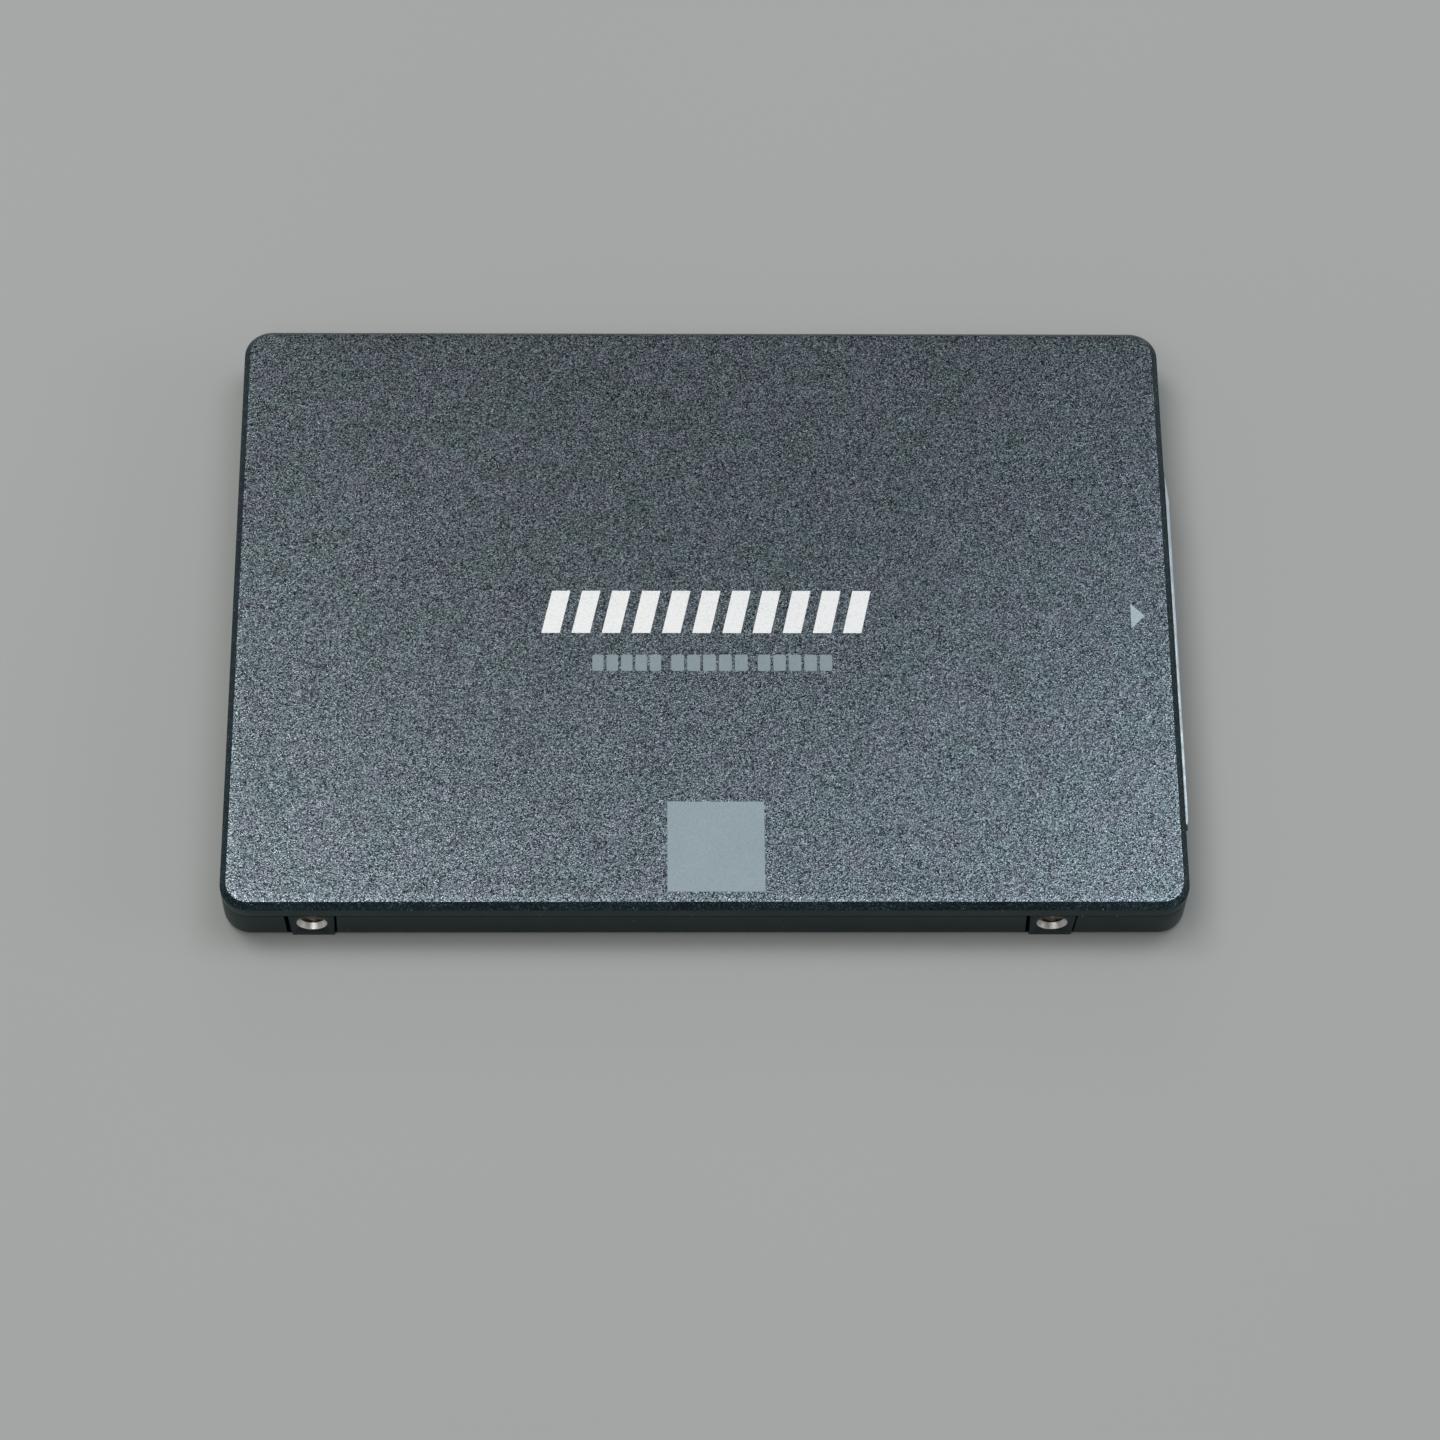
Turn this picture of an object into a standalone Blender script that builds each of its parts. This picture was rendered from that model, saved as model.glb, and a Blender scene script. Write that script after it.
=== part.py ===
"""A 2.5 inch solid state drive with a SATA plug, modelled as its separate pieces.

Units are metres and +Z is up. The drive lies flat with its label side up, its plug
faces +X, and the origin is the bottom centre of the whole drive. Distances along X
are measured back from the plug end, as the form factor's own drawing gives them.
"""
import bpy
import bmesh
from math import pi

MM = 0.001
GAP = 0.3 * MM                      # clearance between two pieces that touch
BITE = 0.2 * MM                     # how far a feature sinks into the piece it is joined to
OVERSHOOT = 1.0 * MM                # how far a cutter reaches past the face that it cuts
MERGE_DISTANCE = 0.01 * MM
LEVEL_TOLERANCE = 1e-7              # two heights closer than this are the same
AXIS_ALIGNED = 0.999                # a face whose normal passes this lies along an axis

# Case
CASE_LENGTH = 100.0 * MM
CASE_WIDTH = 69.85 * MM
CASE_HEIGHT = 6.8 * MM
TRIMMED_EDGE = 0.45 * MM            # how far the cover's bare edge stands out over the plug
TRIMMED_EDGE_THICKNESS = 0.2 * MM
TRIMMED_EDGE_WIDTH = 41.4 * MM
PLUG_END = (CASE_LENGTH - TRIMMED_EDGE) / 2
CASE_MIDDLE = PLUG_END - CASE_LENGTH / 2
CORNER_RADIUS = 3.0 * MM
WALL = 1.0 * MM
COVER_THICKNESS = 0.8 * MM
COVER_EDGE_ROUND = 0.6 * MM
BASE_EDGE_ROUND = 0.85 * MM
SPLIT_HEIGHT = 4.6 * MM             # top of the lower shell's wall
COVER_UNDERSIDE = CASE_HEIGHT - COVER_THICKNESS
RIB_THICKNESS = 0.7 * MM
RIB_BOTTOM = 3.9 * MM

# Mounting holes, M3
HOLE_DISTANCES = (14.0 * MM, 90.6 * MM)     # from the plug end
SIDE_HOLE_HEIGHT = 3.0 * MM
BOTTOM_HOLE_SPACING = 61.72 * MM
TAP_RADIUS = 1.3 * MM
COUNTERSINK_RADIUS = 1.5 * MM
SIDE_HOLE_DEPTH = 5.4 * MM
BOTTOM_HOLE_DEPTH = 3.6 * MM
BLOCK_TOP_WIDTH = 4.8 * MM
BLOCK_BOTTOM_WIDTH = 4.4 * MM
BLOCK_DEPTH = 7.0 * MM

# Screws that close the case
SCREW_PLACES = ((4.0 * MM, 30.6 * MM), (96.0 * MM, 30.8 * MM), (96.0 * MM, -30.8 * MM))
SCREW_HEAD_RADIUS = 1.5 * MM
SCREW_SHANK_RADIUS = 0.7 * MM
SCREW_HEAD_BOTTOM = 0.15 * MM
SCREW_HEAD_TOP = 0.6 * MM
SCREW_TIP = 4.6 * MM
SCREW_CHAMFER = 0.1 * MM
SCREW_POINT_INSET = 0.25 * MM
SCREW_POINT_LENGTH = 0.4 * MM
SCREW_SOCKET_RADIUS = 0.65 * MM
SCREW_SOCKET_DEPTH = 0.3 * MM
SCREW_PAD_TOP = 1.6 * MM
SCREW_PAD_RADIUS = 2.5 * MM
SCREW_BOSS_RADIUS = 2.2 * MM

# Label recess in the underside
LABEL_RECESS = (84.0 * MM, 52.0 * MM, 0.55 * MM)
LABEL_RECESS_CORNER = 1.8 * MM
LABEL_CORNER = 1.5 * MM
LABEL_THICKNESS = 0.15 * MM
LABEL_BOTTOM = 0.1 * MM
LABEL_MIDDLE = 52.0 * MM            # from the plug end

# Board
BOARD_FRONT = 7.0 * MM              # from the plug end
BOARD_LENGTH = 70.0 * MM
BOARD_WIDTH = 54.0 * MM
BOARD_BOTTOM = 2.0 * MM
BOARD_THICKNESS = 0.8 * MM
BOARD_CORNER = 1.0 * MM
BOARD_TOP = BOARD_BOTTOM + BOARD_THICKNESS
CHIP_BOTTOM = BOARD_TOP + GAP
POST_DISTANCES = (14.0 * MM, 74.0 * MM)
POST_OFFSET = 24.0 * MM
POST_RADIUS = 1.6 * MM
PIN_RADIUS = 0.6 * MM
PIN_RISE = 0.1 * MM                 # how far a pin stands out of the board
LOCK_LEG_BOTTOM = 1.6 * MM
LOCK_THICKNESS = 0.35 * MM
LOCK_WIDTH = 1.6 * MM
LOCK_TOP = 4.6 * MM
LOCK_REACH = 1.2 * MM               # how far a board lock's arm goes into the plug

# Chips: distance from the plug end, Y, length, width and height, in millimetres
PACKAGES = {
    "controller_chip": (24.0, -12.0, 14.0, 14.0, 1.1),
    "dram_chip": (22.5, 3.0, 11.0, 8.0, 1.1),
    "flash_package_1": (45.0, -10.0, 14.0, 18.0, 1.1),
    "flash_package_2": (45.0, 10.0, 14.0, 18.0, 1.1),
    "flash_package_3": (62.0, -10.0, 14.0, 18.0, 1.1),
    "flash_package_4": (62.0, 10.0, 14.0, 18.0, 1.1),
    "power_management_chip": (17.0, 15.0, 5.0, 5.0, 0.9),
    "crystal_oscillator": (32.5, 1.5, 3.2, 2.5, 0.8),
}
PACKAGE_BASE_SHARE = 0.25           # share of a chip's height that its base takes
PACKAGE_CAP_INSET = 0.2 * MM
INDUCTOR = (4.2 * MM, 4.2 * MM, 1.8 * MM)
INDUCTOR_CORNER = 0.9 * MM
INDUCTOR_DISTANCES = (24.0 * MM, 30.0 * MM)
INDUCTOR_Y = 15.5 * MM
CAPACITOR = (3.2 * MM, 1.6 * MM, 1.6 * MM)
CAPACITOR_ROUND = 0.15 * MM
CAPACITORS = 6
FIRST_CAPACITOR = 17.0 * MM         # from the plug end
CAPACITOR_PITCH = 4.4 * MM
CAPACITOR_Y = 21.0 * MM
TALLEST_CHIP = 1.1 * MM
# Thermal pads: distance from the plug end, Y, length and width, in millimetres
THERMAL_PADS = {
    "controller_thermal_pad": (24.0, -12.0, 13.0, 13.0),
    "memory_thermal_pad": (53.5, 0.0, 30.0, 36.0),
}
THERMAL_PAD_CORNER = 0.8 * MM

# SATA plug. Tongues and contacts follow the standard's own sizes
PITCH = 1.27 * MM
TONGUE_TOP = 4.73 * MM
TONGUE_BOTTOM = 3.5 * MM
TONGUE_END = 0.2 * MM               # from the plug end
PLUG_BODY_FRONT = 6.4 * MM
PLUG_BODY_BACK = 10.4 * MM
PLUG_BODY_TOP = COVER_UNDERSIDE - GAP
PLUG_MIDDLE_Y = -3.27 * MM
TONGUES_WIDTH = 33.39 * MM
POWER_WIDTH = 20.57 * MM
SIGNAL_WIDTH = 10.41 * MM
OUTER_MARGIN = 0.82 * MM            # last contact's centre to the tongue's outer end
PLUG_WIDTH = 42.4 * MM
EAR_WIDTH = 3.2 * MM
EAR_TOP = 5.4 * MM
KEY_WIDTH = 1.2 * MM
KEY_BOTTOM = 2.3 * MM
POWER_OUTER_Y = PLUG_MIDDLE_Y - TONGUES_WIDTH / 2
SIGNAL_OUTER_Y = PLUG_MIDDLE_Y + TONGUES_WIDTH / 2
CONTACT_WIDTH = 0.8 * MM
CONTACT_THICKNESS = 0.22 * MM
GROOVE_WIDTH = 1.06 * MM
CONTACT_TIP_SLOPE = 0.3 * MM
CONTACT_BEND = 0.5 * MM             # behind the plug's body
CONTACT_FOOT = 1.2 * MM             # length of the foot on the board, from the bend
POWER_CONTACTS = 15
SIGNAL_CONTACTS = 7
FIRST_MATE = {("power", 4), ("power", 12)}
SECOND_MATE = {("signal", 1), ("signal", 4), ("signal", 7), ("power", 3), ("power", 5),
               ("power", 6), ("power", 7), ("power", 10), ("power", 13)}
FIRST_MATE_SETBACK = 0.6 * MM       # from the plug end to the contact's tip
SECOND_MATE_SETBACK = 1.1 * MM
LAST_MATE_SETBACK = 1.6 * MM

ROUND_STEPS = 20
SMALL_ROUND_STEPS = 16


# ---------------------------------------------------------------- scene helpers

def clear_scene():
    for old in list(bpy.data.objects):
        bpy.data.objects.remove(old, do_unlink=True)


def new_collection(name):
    collection = bpy.data.collections.new(name)
    bpy.context.scene.collection.children.link(collection)
    return collection


def make_material(name, colour, roughness, metallic):
    material = bpy.data.materials.new(name)
    material.use_nodes = True
    shader = material.node_tree.nodes["Principled BSDF"]
    shader.inputs["Base Color"].default_value = (*colour, 1.0)
    shader.inputs["Roughness"].default_value = roughness
    shader.inputs["Metallic"].default_value = metallic
    material.diffuse_color = (*colour, 1.0)
    return material


def from_plug(distance):
    """The X of a place measured back from the plug end."""
    return PLUG_END - distance


def add_object(name, data, place, material=None):
    """Link an object: a part where it has a material, and otherwise a cutter."""
    ob = bpy.data.objects.new(name, data)
    ob.location = place
    if material is None:
        ob.display_type = "WIRE"
        ob.hide_render = True
        CUTTERS.objects.link(ob)
        return ob
    if not data.materials:
        data.materials.append(material)
    PARTS.objects.link(ob)
    return ob


def finish_mesh(name, bm):
    """Shade only the rounded faces smooth, so that flat faces stay flat when cut."""
    bm.normal_update()
    for face in bm.faces:
        face.smooth = max(abs(part) for part in face.normal) < AXIS_ALIGNED
    mesh = bpy.data.meshes.new(name)
    bm.to_mesh(mesh)
    bm.free()
    return mesh


# ---------------------------------------------------------------- shape helpers

def block_mesh(name, size, corner=0.0, top_round=0.0, bottom_round=0.0, foot=1.0, segments=5):
    """A block centred on the origin. corner rounds its upright edges, top_round and
    bottom_round round its rims, and foot scales the width along X at its underside."""
    bm = bmesh.new()
    bmesh.ops.create_cube(bm, size=1.0)
    bmesh.ops.scale(bm, vec=size, verts=bm.verts)
    half = size[2] / 2
    for vert in bm.verts:
        if vert.co.z < 0:
            vert.co.x *= foot
    if corner:
        upright = [e for e in bm.edges if abs(e.verts[0].co.z - e.verts[1].co.z) > half]
        bmesh.ops.bevel(bm, geom=upright, offset=corner, segments=segments,
                        profile=0.5, affect="EDGES")
    for radius, level in ((top_round, half), (bottom_round, -half)):
        if radius:
            rim = [e for e in bm.edges
                   if all(abs(v.co.z - level) < LEVEL_TOLERANCE for v in e.verts)]
            bmesh.ops.bevel(bm, geom=rim, offset=radius, segments=2, profile=0.5,
                            affect="EDGES")
    return finish_mesh(name, bm)


def box_between(name, low, high, material=None, **shape):
    """A block given by its lowest and highest corners."""
    size = [b - a for a, b in zip(low, high)]
    middle = [(a + b) / 2 for a, b in zip(low, high)]
    return add_object(name, block_mesh(name, size, **shape), middle, material)


def turned(name, profile, place, material=None, steps=ROUND_STEPS):
    """A profile of (radius, height) points, from the top down, turned about Z."""
    bm = bmesh.new()
    points = [bm.verts.new((radius, 0.0, height)) for radius, height in profile]
    for first, second in zip(points, points[1:]):
        bm.edges.new((first, second))
    ob = add_object(name, finish_mesh(name, bm), place, material)
    screw = ob.modifiers.new("turn", "SCREW")
    screw.axis = "Z"
    screw.angle = 2 * pi
    screw.steps = steps
    screw.render_steps = steps
    screw.use_merge_vertices = True
    screw.merge_threshold = MERGE_DISTANCE
    return ob


def rod_profile(radius, top, bottom):
    return [(0, top), (radius, top), (radius, bottom), (0, bottom)]


def side_profile(name, points, width, place, material):
    """A piece cut from sheet: an outline in X and Z, as wide as width along Y."""
    curve = bpy.data.curves.new(name, "CURVE")
    curve.dimensions = "2D"
    curve.fill_mode = "BOTH"
    curve.extrude = width / 2
    spline = curve.splines.new("POLY")
    spline.points.add(len(points) - 1)
    for point, (x, z) in zip(spline.points, points):
        point.co = (x, z, 0.0, 1.0)
    spline.use_cyclic_u = True
    ob = add_object(name, curve, place, material)
    ob.rotation_euler = (pi / 2, 0.0, 0.0)
    return ob


def boolean(target, tool, operation):
    modifier = target.modifiers.new(tool.name, "BOOLEAN")
    modifier.object = tool
    modifier.operation = operation
    modifier.solver = "EXACT"


# ---------------------------------------------------------------- case

def case_outline(name, inset, bottom, top, material=None, **rims):
    """The case's rounded outline, inset from its sides, between two heights."""
    size = (CASE_LENGTH - 2 * inset, CASE_WIDTH - 2 * inset, top - bottom)
    middle = (CASE_MIDDLE, 0.0, (top + bottom) / 2)
    mesh = block_mesh(name, size, corner=CORNER_RADIUS - inset, **rims)
    return add_object(name, mesh, middle, material)


def make_case_cutters():
    """The cutters that both shells share: the plug's opening and the block notches."""
    half_plug = PLUG_WIDTH / 2 + GAP
    opening = box_between(
        "plug_opening",
        (from_plug(BOARD_FRONT - GAP), PLUG_MIDDLE_Y - half_plug, -OVERSHOOT),
        (from_plug(-OVERSHOOT), PLUG_MIDDLE_Y + half_plug, COVER_UNDERSIDE))
    notches = []
    for place, side in block_places():
        depth = BLOCK_DEPTH + GAP + OVERSHOOT
        top = SPLIT_HEIGHT + GAP
        size = (BLOCK_TOP_WIDTH + 2 * GAP, depth, top + OVERSHOOT)
        foot = (BLOCK_BOTTOM_WIDTH + 2 * GAP) / (BLOCK_TOP_WIDTH + 2 * GAP)
        notch = add_object("block_notch", block_mesh("block_notch", size, foot=foot),
                           (place, side * (CASE_WIDTH / 2 + OVERSHOOT - depth / 2),
                            (top - OVERSHOOT) / 2))
        notches.append(notch)
    return opening, notches


def block_places():
    """X and side of each of the four mounting blocks."""
    return [(from_plug(distance), side) for distance in HOLE_DISTANCES for side in (-1, 1)]


def make_upper_shell(opening, notches, material):
    shell = case_outline("upper_shell", 0.0, SPLIT_HEIGHT + GAP, CASE_HEIGHT, material,
                         top_round=COVER_EDGE_ROUND)
    cavity = case_outline("cover_cavity", WALL, SPLIT_HEIGHT - OVERSHOOT, COVER_UNDERSIDE)
    boolean(shell, cavity, "DIFFERENCE")

    rib_outer = WALL + GAP
    rib = case_outline("cover_rib", rib_outer, RIB_BOTTOM, COVER_UNDERSIDE + BITE)
    rib_hollow = case_outline("cover_rib_hollow", rib_outer + RIB_THICKNESS,
                              RIB_BOTTOM - OVERSHOOT, COVER_UNDERSIDE + OVERSHOOT)
    boolean(rib, rib_hollow, "DIFFERENCE")
    boolean(shell, rib, "UNION")

    boss_bottom = SCREW_PAD_TOP + GAP
    for distance, y in SCREW_PLACES:
        place = (from_plug(distance), y, 0.0)
        boss = turned("screw_boss", rod_profile(SCREW_BOSS_RADIUS, COVER_UNDERSIDE + BITE,
                                                boss_bottom), place)
        boolean(shell, boss, "UNION")
        pilot = turned("pilot_hole", rod_profile(SCREW_SHANK_RADIUS + GAP, SCREW_TIP + GAP,
                                                 boss_bottom - OVERSHOOT), place)
        boolean(shell, pilot, "DIFFERENCE")

    boolean(shell, opening, "DIFFERENCE")
    for notch in notches:
        boolean(shell, notch, "DIFFERENCE")

    half_edge = TRIMMED_EDGE_WIDTH / 2
    edge_root = from_plug(COVER_EDGE_ROUND)
    trimmed = box_between(
        "trimmed_edge",
        (edge_root, PLUG_MIDDLE_Y - half_edge, COVER_UNDERSIDE),
        (from_plug(-TRIMMED_EDGE), PLUG_MIDDLE_Y + half_edge,
         COVER_UNDERSIDE + TRIMMED_EDGE_THICKNESS))
    boolean(shell, trimmed, "UNION")


def make_lower_shell(opening, notches, material):
    shell = case_outline("lower_shell", 0.0, 0.0, SPLIT_HEIGHT, material,
                         bottom_round=BASE_EDGE_ROUND)
    cavity = case_outline("base_cavity", WALL, WALL, SPLIT_HEIGHT + OVERSHOOT)
    boolean(shell, cavity, "DIFFERENCE")

    for distance, y in SCREW_PLACES:
        place = (from_plug(distance), y, 0.0)
        pad = turned("screw_pad", rod_profile(SCREW_PAD_RADIUS, SCREW_PAD_TOP, WALL - BITE),
                     place)
        boolean(shell, pad, "UNION")
        head = SCREW_HEAD_RADIUS + GAP
        shank = SCREW_SHANK_RADIUS + GAP
        seat = SCREW_HEAD_TOP + GAP
        counterbore = turned("counterbore", [
            (0, SCREW_PAD_TOP + OVERSHOOT), (shank, SCREW_PAD_TOP + OVERSHOOT), (shank, seat),
            (head, seat), (head, -OVERSHOOT), (0, -OVERSHOOT)], place)
        boolean(shell, counterbore, "DIFFERENCE")

    rest = BOARD_BOTTOM - GAP
    for place in post_places():
        pin_top = BOARD_TOP + PIN_RISE
        post = turned("board_post", [
            (0, pin_top), (PIN_RADIUS, pin_top), (PIN_RADIUS, rest),
            (POST_RADIUS, rest), (POST_RADIUS, WALL - BITE), (0, WALL - BITE)],
            place, steps=SMALL_ROUND_STEPS)
        boolean(shell, post, "UNION")

    length, width, depth = LABEL_RECESS
    recess = add_object("label_recess", block_mesh(
        "label_recess", (length, width, 2 * depth), corner=LABEL_RECESS_CORNER, segments=3),
        (from_plug(LABEL_MIDDLE), 0.0, 0.0))
    for tool in [opening, recess] + notches:
        boolean(shell, tool, "DIFFERENCE")


def make_mount_blocks(material):
    """Tapped blocks in the side walls, each with a side hole that meets a bottom hole."""
    for x, side in block_places():
        end = "plug" if x > 0 else "closed"
        name = "mount_block_{}_{}".format(end, "front" if side < 0 else "back")
        size = (BLOCK_TOP_WIDTH, BLOCK_DEPTH, SPLIT_HEIGHT)
        mesh = block_mesh(name, size, foot=BLOCK_BOTTOM_WIDTH / BLOCK_TOP_WIDTH)
        face = side * CASE_WIDTH / 2
        block = add_object(name, mesh, (x, face - side * BLOCK_DEPTH / 2, SPLIT_HEIGHT / 2),
                           material)
        side_hole = turned("side_hole", tapped_profile(SIDE_HOLE_DEPTH),
                           (x, face, SIDE_HOLE_HEIGHT))
        side_hole.rotation_euler = (side * pi / 2, 0.0, 0.0)
        bottom_hole = turned("bottom_hole", tapped_profile(BOTTOM_HOLE_DEPTH),
                             (x, side * BOTTOM_HOLE_SPACING / 2, 0.0))
        boolean(block, side_hole, "DIFFERENCE")
        boolean(block, bottom_hole, "DIFFERENCE")


def tapped_profile(depth):
    """A hole that opens downwards at height 0, with a small countersink."""
    step = COUNTERSINK_RADIUS - TAP_RADIUS
    return [(0, depth), (TAP_RADIUS, depth), (TAP_RADIUS, step), (COUNTERSINK_RADIUS, 0),
            (COUNTERSINK_RADIUS, -OVERSHOOT), (0, -OVERSHOOT)]


def make_case_screws(material):
    for index, (distance, y) in enumerate(SCREW_PLACES, start=1):
        place = (from_plug(distance), y, 0.0)
        screw = turned("case_screw_{}".format(index), [
            (0, SCREW_TIP), (SCREW_SHANK_RADIUS - SCREW_POINT_INSET, SCREW_TIP),
            (SCREW_SHANK_RADIUS, SCREW_TIP - SCREW_POINT_LENGTH),
            (SCREW_SHANK_RADIUS, SCREW_HEAD_TOP), (SCREW_HEAD_RADIUS, SCREW_HEAD_TOP),
            (SCREW_HEAD_RADIUS, SCREW_HEAD_BOTTOM + SCREW_CHAMFER),
            (SCREW_HEAD_RADIUS - SCREW_CHAMFER, SCREW_HEAD_BOTTOM), (0, SCREW_HEAD_BOTTOM)],
            place, material)
        socket = turned("screw_socket", rod_profile(
            SCREW_SOCKET_RADIUS, SCREW_HEAD_BOTTOM + SCREW_SOCKET_DEPTH,
            SCREW_HEAD_BOTTOM - OVERSHOOT), place, steps=6)
        boolean(screw, socket, "DIFFERENCE")


def make_rear_label(material):
    length, width, _ = LABEL_RECESS
    size = (length - 2 * GAP, width - 2 * GAP, LABEL_THICKNESS)
    mesh = block_mesh("rear_label", size, corner=LABEL_CORNER, segments=3)
    add_object("rear_label", mesh,
               (from_plug(LABEL_MIDDLE), 0.0, LABEL_BOTTOM + LABEL_THICKNESS / 2), material)


# ---------------------------------------------------------------- board

def post_places():
    return [(from_plug(distance), side * POST_OFFSET, 0.0)
            for distance in POST_DISTANCES for side in (-1, 1)]


def lock_shapes(margin):
    """Leg and arm of each board lock, as corner pairs, grown by margin on all sides."""
    x = from_plug((PLUG_BODY_FRONT + PLUG_BODY_BACK) / 2)
    shapes = []
    for side in (-1, 1):
        near = PLUG_MIDDLE_Y + side * (PLUG_WIDTH / 2 + GAP)
        far = near + side * LOCK_THICKNESS
        inside = near - side * (GAP + LOCK_REACH)
        spans = ((near, far, LOCK_LEG_BOTTOM, LOCK_TOP),
                 (inside, far, LOCK_TOP - LOCK_THICKNESS, LOCK_TOP))
        for start, end, low, high in spans:
            low_y, high_y = min(start, end), max(start, end)
            shapes.append(((x - LOCK_WIDTH / 2 - margin, low_y - margin, low - margin),
                           (x + LOCK_WIDTH / 2 + margin, high_y + margin, high + margin)))
    return shapes


def make_board(material):
    size = (BOARD_LENGTH, BOARD_WIDTH, BOARD_THICKNESS)
    mesh = block_mesh("printed_circuit_board", size, corner=BOARD_CORNER, segments=3)
    board = add_object("printed_circuit_board", mesh,
                       (from_plug(BOARD_FRONT + BOARD_LENGTH / 2), 0.0,
                        BOARD_BOTTOM + BOARD_THICKNESS / 2), material)
    for place in post_places():
        hole = turned("post_hole", rod_profile(PIN_RADIUS + GAP, BOARD_TOP + OVERSHOOT,
                                               BOARD_BOTTOM - OVERSHOOT),
                      place, steps=SMALL_ROUND_STEPS)
        boolean(board, hole, "DIFFERENCE")
    for low, high in lock_shapes(GAP)[0::2]:
        boolean(board, box_between("lock_slot", low, high), "DIFFERENCE")


def make_board_locks(material):
    """A bent tab: its arm hooks into the plug and its leg goes down through the board."""
    legs, arms = lock_shapes(0.0)[0::2], lock_shapes(0.0)[1::2]
    for name, leg, arm in zip(("board_lock_power", "board_lock_signal"), legs, arms):
        lock = box_between(name, *leg, material)
        boolean(lock, box_between("lock_arm", *arm), "UNION")


def make_package(name, material):
    """A chip: a thin base with a slightly smaller moulded cap on it."""
    distance, y, length, width, height = (value * MM for value in PACKAGES[name])
    bm = bmesh.new()
    bmesh.ops.create_cube(bm, size=1.0)
    base = height * PACKAGE_BASE_SHARE
    bmesh.ops.scale(bm, vec=(length, width, base), verts=bm.verts)
    bmesh.ops.translate(bm, vec=(0, 0, base / 2), verts=bm.verts)
    bm.faces.ensure_lookup_table()
    top = max(bm.faces, key=lambda face: face.calc_center_median().z)
    bmesh.ops.inset_region(bm, faces=[top], thickness=PACKAGE_CAP_INSET)
    grown = bmesh.ops.extrude_face_region(bm, geom=[top])
    risen = [item for item in grown["geom"] if isinstance(item, bmesh.types.BMVert)]
    bmesh.ops.translate(bm, vec=(0, 0, height - base), verts=risen)
    bmesh.ops.delete(bm, geom=[top], context="FACES_ONLY")
    add_object(name, finish_mesh(name, bm), (from_plug(distance), y, CHIP_BOTTOM), material)


def make_chips(chip, metal):
    for name in PACKAGES:
        make_package(name, metal if name == "crystal_oscillator" else chip)


def make_power_parts(ceramic, iron):
    """Inductors and the capacitors that hold the supply up while data is written out."""
    for index, distance in enumerate(INDUCTOR_DISTANCES, start=1):
        name = "power_inductor_{}".format(index)
        mesh = block_mesh(name, INDUCTOR, corner=INDUCTOR_CORNER, segments=2)
        middle = (from_plug(distance), INDUCTOR_Y, CHIP_BOTTOM + INDUCTOR[2] / 2)
        add_object(name, mesh, middle, iron)
    for index in range(CAPACITORS):
        name = "tank_capacitor_{}".format(index + 1)
        mesh = block_mesh(name, CAPACITOR, top_round=CAPACITOR_ROUND)
        middle = (from_plug(FIRST_CAPACITOR + CAPACITOR_PITCH * index), CAPACITOR_Y,
                  CHIP_BOTTOM + CAPACITOR[2] / 2)
        add_object(name, mesh, middle, ceramic)


def make_thermal_pads(material):
    """Soft pads that fill the space between the chips and the cover."""
    bottom = CHIP_BOTTOM + TALLEST_CHIP + GAP
    top = COVER_UNDERSIDE - GAP
    for name, (distance, y, length, width) in THERMAL_PADS.items():
        size = (length * MM, width * MM, top - bottom)
        mesh = block_mesh(name, size, corner=THERMAL_PAD_CORNER, segments=2)
        place = (from_plug(distance * MM), y * MM, (top + bottom) / 2)
        add_object(name, mesh, place, material)


# ---------------------------------------------------------------- plug

def contact_rows():
    """Group, number and Y of every contact, the power group nearer the -Y side."""
    rows = []
    for number in range(1, POWER_CONTACTS + 1):
        y = POWER_OUTER_Y + OUTER_MARGIN + (POWER_CONTACTS - number) * PITCH
        rows.append(("power", number, y))
    for number in range(1, SIGNAL_CONTACTS + 1):
        y = SIGNAL_OUTER_Y - OUTER_MARGIN - (number - 1) * PITCH
        rows.append(("signal", number, y))
    return rows


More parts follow.
